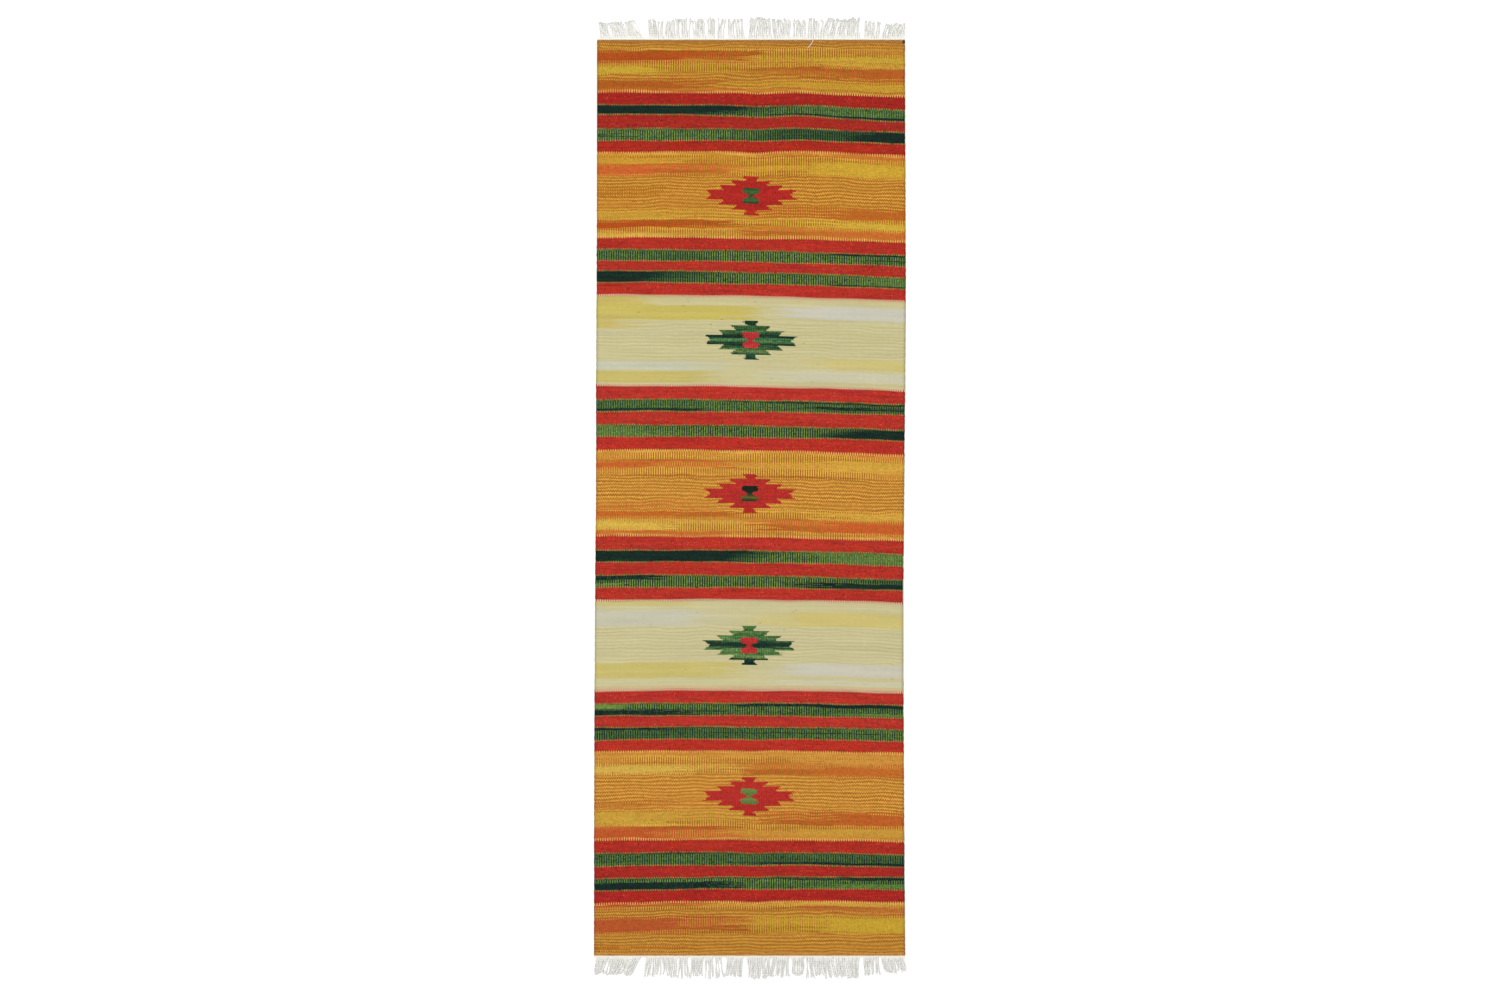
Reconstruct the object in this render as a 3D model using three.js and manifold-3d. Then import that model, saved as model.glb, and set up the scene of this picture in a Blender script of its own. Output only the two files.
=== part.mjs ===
// Runner rug: a flat-woven wool runner, 0.81 m by 2.40 m without its fringe.
// Units are millimetres. X is the rug's width, Y its length, +Z up. The underside is at Z = 0 and the origin is the middle of the footprint.
//
// The cloth is built as it is woven. Cotton warps run the whole length inside the wool wefts. Each colour area is its own weft yarn,
// so each is a separate flat sleeve round the warps. A thicker selvedge cord runs in a channel inside each long edge.
// Twined cords lock the weave at both ends, and beyond them the warps come out as a fringe.
import * as THREE from "three";
import { mergeVertices } from "three/addons/utils/BufferGeometryUtils.js";
import Module from "manifold-3d";

const wasm = await Module();
wasm.setup();

// ---- driving dimensions ----
const HALF_WIDTH = 405; // half the cloth's width
const HALF_LENGTH = 1200; // half the cloth's length, between the twined cords
const THICKNESS = 3; // cloth, over both faces
const GAP = 0.3; // between neighbouring yarn areas
const SKIN = 0.8; // weft on each face of the warp sheet
const WARP_HALF_WIDTH = 397.7;
const WARP_THICKNESS = 0.8;
const SELVEDGE_X = 401.5;
const SELVEDGE_RADIUS = 0.8;
const CHANNEL_RADIUS = 1.1;
const CORD_WIDTH = 4.7; // twined end cord, along Y
const CORD_HEIGHT = 2.6;
const FRINGE_START = HALF_LENGTH + GAP + CORD_WIDTH + GAP;
const FRINGE_LENGTH = 52; // longest tassel, from the fringe's start
const FRINGE_Z = [0.1, 2.5];
const TASSELS = 60; // at each end
const FOLD_A_Y = 647; // middle of the fold line of the +Y flap
const FOLD_B_Y = -635; // middle of the fold line of the -Y flap
const FOLD_CLEARANCE = 15; // warps and selvedge cords stop this far from a fold line

// The lines between yarn areas, from +Y to -Y: [Y at the left edge, Y at the right edge].
// The weft lies slightly askew, as in any hand-beaten cloth.
const LINES = [
  [1200, 1200],
  [1066, 1053], [1034, 1020], [1009, 988], [971, 961], [939, 930], [909, 901],
  [686, 673], [655, 638], [625, 609], [600, 580], [568, 550], [535, 518],
  [297, 283], [262, 248], [228, 219], [195, 180], [163, 151], [129, 115],
  [-98, -111], [-134, -145], [-166, -177], [-199, -212], [-233, -242], [-266, -273],
  [-504, -509], [-537, -541], [-570, -576], [-599, -605], [-633, -636], [-663, -667],
  [-896, -900], [-929, -933], [-964, -966], [-997, -993], [-1029, -1026], [-1061, -1058],
  [-1200, -1200],
];
// Shares of the half width at which each line bends.
const STATIONS = [-1, -0.62, -0.28, 0.06, 0.36, 0.7, 1];
const BOW = 4.6; // the edges lie this much lower than the middle
const DIP_ROWS = [1, 6]; // the first stripe group has a lift right of the middle
const DIP = 4.2;

const MEDALLION_Y = [794, 413, 11, -387, -782];
// Right half of a medallion, from its top: four steps with dovetailed ends.
const MEDALLION_STEPS = [
  [19.7, 52.5], [11, 39.4], [53.5, 39.4], [38.3, 26.2], [82.6, 26.2], [71.6, 13.1], [118, 13.1], [105, 0],
];
const MEDALLION_WEB = { x: 60, halfX: 5, halfY: 10 };
// Right half of the I-shaped centre mark, from its top.
const MARK_STEPS = [[20.5, 20], [20.5, 5.8], [6, 5.8]];
const MARK_WEB = { halfX: 3.5, halfY: 14 };

const RED = 0xa8262a, GREEN = 0x1f4430, LIGHT_GREEN = 0x5c8a45, ORANGE = 0xc4803a, CREAM = 0xcdbe90, COTTON = 0xd9d4c8, DARK = 0x1a3530;

// ---- solids ----
const solidOf = (geometry) => {
  const g = geometry.index ? geometry.toNonIndexed() : geometry.clone();
  g.deleteAttribute("normal");
  g.deleteAttribute("uv");
  const m = mergeVertices(g, 1e-4);
  return new wasm.Manifold(
    new wasm.Mesh({
      numProp: 3,
      vertProperties: new Float32Array(m.attributes.position.array),
      triVerts: new Uint32Array(m.index.array),
    }),
  );
};
const geometryOf = (solid) => {
  const mesh = solid.getMesh();
  const g = new THREE.BufferGeometry();
  g.setAttribute("position", new THREE.BufferAttribute(new Float32Array(mesh.vertProperties), 3));
  g.setIndex(new THREE.BufferAttribute(new Uint32Array(mesh.triVerts), 1));
  const flat = g.toNonIndexed();
  flat.computeVertexNormals();
  return flat;
};
const shapeOf = (points) => new THREE.Shape(points.map(([x, y]) => new THREE.Vector2(x, y)));
// A plate: an outline in XY, from z0 to z1.
const plate = (points, z0, z1) =>
  solidOf(new THREE.ExtrudeGeometry(shapeOf(points), { depth: z1 - z0, bevelEnabled: false }).translate(0, 0, z0));
const block = (x0, x1, y0, y1, z0, z1) =>
  solidOf(new THREE.BoxGeometry(x1 - x0, y1 - y0, z1 - z0).translate((x0 + x1) / 2, (y0 + y1) / 2, (z0 + z1) / 2));
const rod = (x, z, radius, y0, y1, sides) =>
  solidOf(new THREE.CylinderGeometry(radius, radius, y1 - y0, sides).translate(0, (y0 + y1) / 2, 0).translate(x, 0, z));

// An outline moved outwards by d, with mitred corners. The points go clockwise seen from +Z.
const offset = (points, d) => {
  const n = points.length;
  return points.map((p, i) => {
    const a = points[(i + n - 1) % n], b = points[(i + 1) % n];
    const e1 = new THREE.Vector2(p[0] - a[0], p[1] - a[1]).normalize();
    const e2 = new THREE.Vector2(b[0] - p[0], b[1] - p[1]).normalize();
    const n1 = new THREE.Vector2(-e1.y, e1.x), n2 = new THREE.Vector2(-e2.y, e2.x);
    const k = d / (1 + n1.dot(n2));
    return [p[0] + (n1.x + n2.x) * k, p[1] + (n1.y + n2.y) * k];
  });
};
// Right half of an outline with its middle on Y = 0 made whole, clockwise from the top.
const whole = (steps, closesOnAxis) => {
  const right = [...steps, ...steps.slice(0, closesOnAxis ? -1 : undefined).reverse().map(([x, y]) => [x, -y])];
  return [...right, ...[...right].reverse().map(([x, y]) => [-x, y])];
};

// Y of line i at a share u of the half width.
const lineY = (i, u) => {
  const [left, right] = LINES[i];
  if (i === 0 || i === LINES.length - 1) return left;
  let y = left + ((right - left) * (u + 1)) / 2 - BOW * (u * u - 1 / 3);
  if (i >= DIP_ROWS[0] && i <= DIP_ROWS[1]) y += DIP * Math.exp(-(((u - 0.36) / 0.2) ** 2));
  return y;
};
const bandOutline = (i) => {
  const top = STATIONS.map((u) => [u * HALF_WIDTH, lineY(i, u) - GAP / 2]);
  const bottom = STATIONS.map((u) => [u * HALF_WIDTH, lineY(i + 1, u) + GAP / 2]).reverse();
  return [...top, ...bottom];
};
const slot = block(
  -WARP_HALF_WIDTH - GAP, WARP_HALF_WIDTH + GAP, -HALF_LENGTH - 20, HALF_LENGTH + 20,
  (THICKNESS - WARP_THICKNESS) / 2 - GAP, (THICKNESS + WARP_THICKNESS) / 2 + GAP,
);
const channels = [-1, 1].map((s) =>
  rod(s * SELVEDGE_X, THICKNESS / 2, CHANNEL_RADIUS, -HALF_LENGTH - 20, HALF_LENGTH + 20, 6),
);

const root = new THREE.Group();
root.name = "runner_rug";
const add = (parent, name, solid, color, roughness = 0.92) => {
  const material = new THREE.MeshStandardMaterial({ color, roughness, metalness: 0 });
  const mesh = new THREE.Mesh(geometryOf(solid), material);
  mesh.name = name;
  parent.add(mesh);
};

const flapA = new THREE.Group(), middle = new THREE.Group(), flapB = new THREE.Group();
root.add(flapA, middle, flapB);

// ---- yarn areas ----
const medallionOutline = whole(MEDALLION_STEPS, true);
const markOutline = whole(MARK_STEPS, false);
const at = (points, y) => points.map(([x, py]) => [x, py + y]);

const stripeNames = (g) => ["red_a", "green_a", "red_b", "green_b", "red_c"].map((n) => `stripe_${g}_${n}`);
const bandNames = [
  "band_end_a", ...stripeNames(1), "band_orange_1", ...stripeNames(2), "band_cream_1", ...stripeNames(3),
  "band_orange_2", ...stripeNames(4), "band_cream_2", ...stripeNames(5), "band_orange_3", ...stripeNames(6), "band_end_b",
];
const fields = { band_orange_1: 0, band_cream_1: 1, band_orange_2: 2, band_cream_2: 3, band_orange_3: 4 };
const LAST_OF_FLAP_A = 7, FIRST_OF_FLAP_B = 29;
const groupOf = (i) => (i <= LAST_OF_FLAP_A ? flapA : i >= FIRST_OF_FLAP_B ? flapB : middle);

bandNames.forEach((name, i) => {
  let band = plate(bandOutline(i), 0, THICKNESS).subtract(slot).subtract(channels[0]).subtract(channels[1]);
  if (name in fields)
    band = band.subtract(plate(at(offset(medallionOutline, GAP), MEDALLION_Y[fields[name]]), -1, THICKNESS + 1));
  const color = name.includes("red") ? RED : name.includes("green") ? (i % 2 ? LIGHT_GREEN : GREEN) : name.includes("cream") ? CREAM : ORANGE;
  add(groupOf(i), name, band, color);
});

// A motif is woven in its own yarn, so it has a plate on each face, and webs between them where its weft turns.
const motif = (outline, y, webs) => {
  let solid = plate(at(outline, y), 0, SKIN).add(plate(at(outline, y), THICKNESS - SKIN, THICKNESS));
  for (const [x, hx, hy] of webs) solid = solid.add(block(x - hx, x + hx, y - hy, y + hy, SKIN / 2, THICKNESS - SKIN / 2));
  return solid;
};
MEDALLION_Y.forEach((y, k) => {
  const group = k === 0 ? flapA : k === 4 ? flapB : middle;
  const { x, halfX, halfY } = MEDALLION_WEB;
  const medallion = motif(medallionOutline, y, [[-x, halfX, halfY], [x, halfX, halfY]]).subtract(
    plate(at(offset(markOutline, GAP), y), -1, THICKNESS + 1),
  );
  const mark = motif(markOutline, y, [[0, MARK_WEB.halfX, MARK_WEB.halfY]]);
  const onCream = k % 2 === 1;
  add(group, `medallion_${k + 1}`, medallion, onCream ? GREEN : RED);
  add(group, `mark_${k + 1}`, mark, onCream ? RED : [GREEN, 0, DARK, 0, LIGHT_GREEN][k]);
});

// ---- warps and selvedge cords, hidden inside the wefts ----
const END = HALF_LENGTH - GAP;
const runs = [
  ["flap_a", flapA, FOLD_A_Y + FOLD_CLEARANCE, END],
  ["middle", middle, FOLD_B_Y + FOLD_CLEARANCE, FOLD_A_Y - FOLD_CLEARANCE],
  ["flap_b", flapB, -END, FOLD_B_Y - FOLD_CLEARANCE],
];
for (const [body, group, y0, y1] of runs) {
  let warp = block(-WARP_HALF_WIDTH, WARP_HALF_WIDTH, y0, y1, (THICKNESS - WARP_THICKNESS) / 2, (THICKNESS + WARP_THICKNESS) / 2);
  for (const y of MEDALLION_Y) {
    if (y < y0 || y > y1) continue;
    const windows = [
      [0, MARK_WEB.halfX, MARK_WEB.halfY],
      [-MEDALLION_WEB.x, MEDALLION_WEB.halfX, MEDALLION_WEB.halfY],
      [MEDALLION_WEB.x, MEDALLION_WEB.halfX, MEDALLION_WEB.halfY],
    ];
    for (const [x, hx, hy] of windows)
      warp = warp.subtract(block(x - hx - GAP, x + hx + GAP, y - hy - GAP, y + hy + GAP, 0, THICKNESS));
  }
  add(group, `warp_${body}`, warp, COTTON);
  add(group, `selvedge_${body}_left`, rod(-SELVEDGE_X, THICKNESS / 2, SELVEDGE_RADIUS, y0, y1, 10), COTTON);
  add(group, `selvedge_${body}_right`, rod(SELVEDGE_X, THICKNESS / 2, SELVEDGE_RADIUS, y0, y1, 10), COTTON);
}

// ---- twined end cords ----
// A cord of two strands that wrap round each other: its section swells and narrows along X.
const endCord = (sign) => {
  const points = [];
  const turns = 36, z0 = 0.2;
  for (let i = 0; i <= turns; i++) points.push([-HALF_WIDTH + (2 * HALF_WIDTH * i) / turns, i % 2 ? CORD_WIDTH / 2 : CORD_WIDTH / 2 - 0.5]);
  const outline = [...points, ...[...points].reverse().map(([x, y]) => [x, -y])];
  const bevel = 0.7;
  const g = new THREE.ExtrudeGeometry(shapeOf(outline.map(([x, y]) => [x * ((HALF_WIDTH - bevel) / HALF_WIDTH), y - Math.sign(y) * bevel])), {
    depth: CORD_HEIGHT - 2 * bevel, bevelEnabled: true, bevelSegments: 1, bevelSize: bevel, bevelThickness: bevel,
  }).translate(0, sign * (HALF_LENGTH + GAP + CORD_WIDTH / 2), z0 + bevel);
  return solidOf(g);
};
add(flapA, "end_cord_a", endCord(1), COTTON, 0.95);
add(flapB, "end_cord_b", endCord(-1), COTTON, 0.95);

// ---- fringes ----
// Repeatable scatter in 0..1.
const scatter = (n) => {
  const s = Math.sin(n * 127.1 + 11.7) * 43758.5453;
  return s - Math.floor(s);
};
const fringe = (sign, seed) => {
  const [z0, z1] = FRINGE_Z, bevel = 0.6, pitch = (2 * HALF_WIDTH - 12) / TASSELS;
  let solid = block(-HALF_WIDTH + 5, HALF_WIDTH - 5, 0, 3, z0 + 0.2, z1 - 0.2);
  for (let i = 0; i < TASSELS; i++) {
    const x = -HALF_WIDTH + 6 + pitch * (i + 0.5) + (scatter(seed + i) - 0.5) * 3;
    const edge = (i / (TASSELS - 1)) * 2 - 1;
    const lean = (scatter(seed + i + 100) - 0.5) * 7 + 2.5 * edge ** 3;
    const bend = (scatter(seed + i + 200) - 0.5) * 4;
    const length = i === 30 ? FRINGE_LENGTH : FRINGE_LENGTH * (0.84 + 0.15 * scatter(seed + i + 300));
    const tip = length - bevel;
    const half = [2.1, 2.9, 1.5].map((w) => w * (0.85 + 0.3 * scatter(seed + i + 400)));
    const middleX = x + lean * 0.45 + bend, tipX = x + lean;
    const outline = [
      [x - half[0], 1], [middleX - half[1], tip * 0.55], [tipX - half[2], tip],
      [tipX + half[2], tip - 1.5], [middleX + half[1], tip * 0.5], [x + half[0], 1],
    ];
    const g = new THREE.ExtrudeGeometry(shapeOf(outline), {
      depth: z1 - z0 - 2 * bevel, bevelEnabled: true, bevelSegments: 1, bevelSize: bevel, bevelThickness: bevel,
    }).translate(0, 0, z0 + bevel);
    solid = solid.add(solidOf(g));
  }
  // The -Y fringe is the same comb turned half round, so its tassels point the other way.
  return sign > 0 ? solid.translate([0, FRINGE_START, 0]) : solid.rotate([0, 0, 180]).translate([0, -FRINGE_START, 0]);
};
const fringeA = new THREE.Group(), fringeB = new THREE.Group();
flapA.add(fringeA);
flapB.add(fringeB);
add(fringeA, "fringe_a", fringe(1, 1), COTTON, 0.95);
add(fringeB, "fringe_b", fringe(-1, 1000), COTTON, 0.95);

export default root;
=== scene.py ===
import math

import bpy
import numpy as np
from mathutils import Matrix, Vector


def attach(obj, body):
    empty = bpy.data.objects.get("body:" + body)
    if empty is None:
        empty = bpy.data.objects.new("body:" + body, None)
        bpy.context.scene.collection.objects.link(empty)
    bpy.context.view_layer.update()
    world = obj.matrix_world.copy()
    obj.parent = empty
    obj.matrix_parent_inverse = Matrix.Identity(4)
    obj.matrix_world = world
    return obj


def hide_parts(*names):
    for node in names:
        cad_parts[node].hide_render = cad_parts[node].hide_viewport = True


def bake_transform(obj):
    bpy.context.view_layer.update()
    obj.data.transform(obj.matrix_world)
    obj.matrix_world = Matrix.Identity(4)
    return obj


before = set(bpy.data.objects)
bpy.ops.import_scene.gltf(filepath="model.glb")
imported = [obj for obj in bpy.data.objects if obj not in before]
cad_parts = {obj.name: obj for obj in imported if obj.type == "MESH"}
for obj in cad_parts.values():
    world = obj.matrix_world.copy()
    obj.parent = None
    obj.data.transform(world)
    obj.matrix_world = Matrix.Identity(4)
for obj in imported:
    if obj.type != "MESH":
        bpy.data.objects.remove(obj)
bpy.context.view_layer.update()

MM = 0.001

# ---------------------------------------------------------------- the cloth's layout, in mm, as in the CAD source
HALF_W, HALF_L, THICK = 405.0, 1200.0, 3.0
RIBS = 260
PITCH = 2 * HALF_W / RIBS
LINES = [
    (1200, 1200),
    (1066, 1053), (1034, 1020), (1009, 988), (971, 961), (939, 930), (909, 901),
    (686, 673), (655, 638), (625, 609), (600, 580), (568, 550), (535, 518),
    (297, 283), (262, 248), (228, 219), (195, 180), (163, 151), (129, 115),
    (-98, -111), (-134, -145), (-166, -177), (-199, -212), (-233, -242), (-266, -273),
    (-504, -509), (-537, -541), (-570, -576), (-599, -605), (-633, -636), (-663, -667),
    (-896, -900), (-929, -933), (-964, -966), (-997, -993), (-1029, -1026), (-1061, -1058),
    (-1200, -1200),
]
BOW, DIP = 4.6, 4.2
FOLD_A, FOLD_B, FOLD_HALF = 647.0, -635.0, 5.0
MEDALLION_Y = (794, 413, 11, -387, -782)
FRINGE_START = 1205.3

# The side edges wander a little along the length: (Y, left edge, right edge).
EDGE = np.array([
    (1200, -400.5, 406.5), (900, -401.5, 407.0), (560, -402.5, 408.5), (260, -404.0, 406.5), (0, -404.0, 404.0),
    (-260, -406.5, 401.5), (-540, -408.0, 402.5), (-830, -409.0, 404.0), (-1200, -409.0, 406.5),
])[::-1]

STRIPES = [[f"stripe_{g}_{n}" for n in ("red_a", "green_a", "red_b", "green_b", "red_c")] for g in range(1, 7)]
BANDS = (["band_end_a"] + STRIPES[0] + ["band_orange_1"] + STRIPES[1] + ["band_cream_1"] + STRIPES[2] + ["band_orange_2"]
         + STRIPES[3] + ["band_cream_2"] + STRIPES[4] + ["band_orange_3"] + STRIPES[5] + ["band_end_b"])
FIELDS = {"band_orange_1": 0, "band_cream_1": 1, "band_orange_2": 2, "band_cream_2": 3, "band_orange_3": 4}


def body_of_band(i):
    return "flap_a" if i <= 7 else "flap_b" if i >= 29 else "middle"


def line_y(i, u):
    """Y of line i at a share u of the half width."""
    left, right = LINES[i]
    u = np.asarray(u, float)
    if i in (0, len(LINES) - 1):
        return np.full_like(u, left)
    y = left + (right - left) * (u + 1) / 2 - BOW * (u * u - 1 / 3)
    if 1 <= i <= 6:
        y = y + DIP * np.exp(-(((u - 0.36) / 0.2) ** 2))
    if i <= 7 or i >= 29:
        y = y - 2.2 * np.exp(-(((u - 0.04) / 0.09) ** 2))
    # the weft is beaten by hand, so the line also wavers a little
    return y + 0.7 * np.sin(7.1 * u + 1.7 * i) + 0.45 * np.sin(17.0 * u + 2.9 * i)


def mean_line(i):
    return (LINES[i][0] + LINES[i][1]) / 2


def edge_x(u, y):
    left = np.interp(y, EDGE[:, 0], EDGE[:, 1])
    right = np.interp(y, EDGE[:, 0], EDGE[:, 2])
    return left + (right - left) * (u + 1) / 2


def scatter(n):
    s = np.sin(np.asarray(n, float) * 127.1 + 11.7) * 43758.5453
    return s - np.floor(s)


# ---------------------------------------------------------------- materials
def lin(c):
    """sRGB 0..255 to linear RGBA."""
    out = []
    for v in c:
        v = v / 255
        out.append(v / 12.92 if v <= 0.04045 else ((v + 0.055) / 1.055) ** 2.4)
    return (*out, 1.0)


class Tree:
    """Short ways to add shader nodes. A value may be a socket, a number or a colour."""

    def __init__(self, nt):
        self.nt = nt

    def put(self, node, index, value):
        if value is None:
            return
        if hasattr(value, "is_output") or isinstance(value, bpy.types.NodeSocket):
            self.nt.links.new(value, node.inputs[index])
        else:
            node.inputs[index].default_value = value

    def math(self, op, a, b=None, c=None, clamp=False):
        n = self.nt.nodes.new("ShaderNodeMath")
        n.operation, n.use_clamp = op, clamp
        for k, v in enumerate((a, b, c)):
            self.put(n, k, v)
        return n.outputs[0]

    def step(self, value, lo, hi, to0=0.0, to1=1.0):
        """A smooth step from lo to hi."""
        n = self.nt.nodes.new("ShaderNodeMapRange")
        n.interpolation_type = "SMOOTHSTEP"
        for name, v in (("Value", value), ("From Min", lo), ("From Max", hi), ("To Min", to0), ("To Max", to1)):
            self.put(n, name, v)
        return n.outputs[0]

    def xyz(self, x=0.0, y=0.0, z=0.0):
        n = self.nt.nodes.new("ShaderNodeCombineXYZ")
        for k, v in enumerate((x, y, z)):
            self.put(n, k, v)
        return n.outputs[0]

    def noise(self, vector, scale=1.0, detail=2.0, rough=0.5):
        n = self.nt.nodes.new("ShaderNodeTexNoise")
        self.put(n, "Vector", vector)
        n.inputs["Scale"].default_value = scale
        n.inputs["Detail"].default_value = detail
        n.inputs["Roughness"].default_value = rough
        return n.outputs[0]

    def white(self, vector):
        n = self.nt.nodes.new("ShaderNodeTexWhiteNoise")
        n.noise_dimensions = "3D"
        self.put(n, "Vector", vector)
        return n.outputs["Value"]

    def mix(self, fac, a, b, blend="MIX"):
        n = self.nt.nodes.new("ShaderNodeMix")
        n.data_type, n.blend_type, n.clamp_factor = "RGBA", blend, True
        self.put(n, 0, fac)
        self.put(n, 6, a)
        self.put(n, 7, b)
        return n.outputs[2]

    def scale(self, colour, by):
        n = self.nt.nodes.new("ShaderNodeVectorMath")
        n.operation = "SCALE"
        self.put(n, 0, colour)
        self.put(n, 3, by)
        return n.outputs[0]

    def ramp(self, value, stops):
        n = self.nt.nodes.new("ShaderNodeValToRGB")
        r = n.color_ramp
        while len(r.elements) > 1:
            r.elements.remove(r.elements[-1])
        r.elements[0].position, r.elements[0].color = stops[0][0], lin(stops[0][1])
        for p, c in stops[1:]:
            r.elements.new(p).color = lin(c)
        self.put(n, 0, value)
        return n.outputs[0]

    def levels(self, value, stops):
        n = self.nt.nodes.new("ShaderNodeValToRGB")
        r = n.color_ramp
        while len(r.elements) > 1:
            r.elements.remove(r.elements[-1])
        for k, (p, level) in enumerate(stops):
            e = r.elements[0] if k == 0 else r.elements.new(p)
            e.position, e.color = p, (level, level, level, 1)
        self.put(n, 0, value)
        return n.outputs[0]

    def windows(self, f, spans, soft):
        total = 0.0
        for a, b in spans:
            up = self.step(f, a - soft, a + soft)
            down = self.step(f, b - soft, b + soft)
            total = self.math("ADD", self.math("SUBTRACT", up, down), total)
        return self.math("MINIMUM", total, 1.0)

    def group(self, tree, **values):
        n = self.nt.nodes.new("ShaderNodeGroup")
        n.node_tree = tree
        for k, v in values.items():
            self.put(n, k, v)
        return n.outputs


def new_group(name, inputs, outputs):
    ng = bpy.data.node_groups.new(name, "ShaderNodeTree")
    for k in inputs:
        ng.interface.new_socket(k, in_out="INPUT", socket_type="NodeSocketColor" if k == "Color" else "NodeSocketFloat")
    for k in outputs:
        ng.interface.new_socket(k, in_out="OUTPUT", socket_type="NodeSocketColor" if k == "Color" else "NodeSocketFloat")
    return ng, ng.nodes.new("NodeGroupInput"), ng.nodes.new("NodeGroupOutput")


PICK = 1.7  # mm from one visible pick to the next on a rib


def make_coords():
    """Where a point is in the weave: the map counts ribs across and millimetres along."""
    ng, gin, out = new_group(
        "weave_coords", [], ["S", "X", "V", "Parity", "RibF", "RowF", "Row", "Rand", "Rand2", "Slow", "Cell"])
    t = Tree(ng)
    uv = ng.nodes.new("ShaderNodeUVMap")
    uv.uv_map = "weave"
    sep = ng.nodes.new("ShaderNodeSeparateXYZ")
    ng.links.new(uv.outputs[0], sep.inputs[0])
    u, v0 = sep.outputs[0], sep.outputs[1]
    s = t.math("DIVIDE", u, float(RIBS))
    x = t.math("MULTIPLY", u, PITCH)
    # the picks waver a little, as beaten wool does
    wave = t.noise(t.xyz(t.math("MULTIPLY", x, 0.012), t.math("MULTIPLY", v0, 0.03)), 1.0, 2.0)
    v = t.math("ADD", v0, t.math("MULTIPLY", t.math("SUBTRACT", wave, 0.5), 5.0))
    rib = t.math("FLOOR", u)
    parity = t.math("MODULO", rib, 2.0)
    pos = t.math("ADD", t.math("DIVIDE", v, PICK), t.math("MULTIPLY", parity, 0.5))
    row = t.math("FLOOR", pos)
    slow = t.noise(t.xyz(t.math("MULTIPLY", s, 4.0), t.math("ADD", t.math("MULTIPLY", row, 0.37), t.math("MULTIPLY", parity, 31.7))), 1.0, 1.0)
    rand = t.white(t.xyz(row, parity, 3.0))
    rand2 = t.white(t.xyz(row, parity, 9.0))
    cell = t.white(t.xyz(rib, row, 5.0))
    eff = t.math("ADD", t.math("MULTIPLY", rand, 0.6), t.math("MULTIPLY", t.math("SUBTRACT", slow, 0.3), 1.0), clamp=True)
    for name, value in (("S", s), ("X", x), ("V", v), ("Parity", parity), ("RibF", t.math("FRACT", u)),
                        ("RowF", t.math("FRACT", pos)), ("Row", row), ("Rand", eff), ("Rand2", rand2), ("Slow", slow), ("Cell", cell)):
        ng.links.new(value, out.inputs[name])
    return ng


def make_streak():
    """How far a pick is woven in a streak's yarn. F runs from a band's top line to its bottom line."""
    ng, gin, out = new_group("weft_streak", ["F", "S", "Rand", "Parity", "From", "To", "Soft", "Reach", "Strength", "Comb"], ["Mask"])
    t = Tree(ng)
    i = gin.outputs
    rise = t.step(i["F"], t.math("SUBTRACT", i["From"], i["Soft"]), t.math("ADD", i["From"], i["Soft"]))
    fall = t.step(i["F"], t.math("SUBTRACT", i["To"], i["Soft"]), t.math("ADD", i["To"], i["Soft"]))
    along = t.math("SUBTRACT", rise, fall)
    reach = t.math("ADD", i["Reach"], t.math("MULTIPLY", t.math("SUBTRACT", i["Parity"], 0.5), i["Comb"]))
    across = t.step(i["S"], t.math("SUBTRACT", reach, 0.15), t.math("ADD", reach, 0.15), 1.0, 0.0)
    raw = t.math("MULTIPLY", t.math("MULTIPLY", along, across), i["Strength"])
    raw = t.math("SUBTRACT", t.math("MULTIPLY", raw, 1.3), 0.15)
    mask = t.step(raw, t.math("SUBTRACT", i["Rand"], 0.10), t.math("ADD", i["Rand"], 0.10))
    ng.links.new(mask, out.inputs[0])
    return ng


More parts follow.
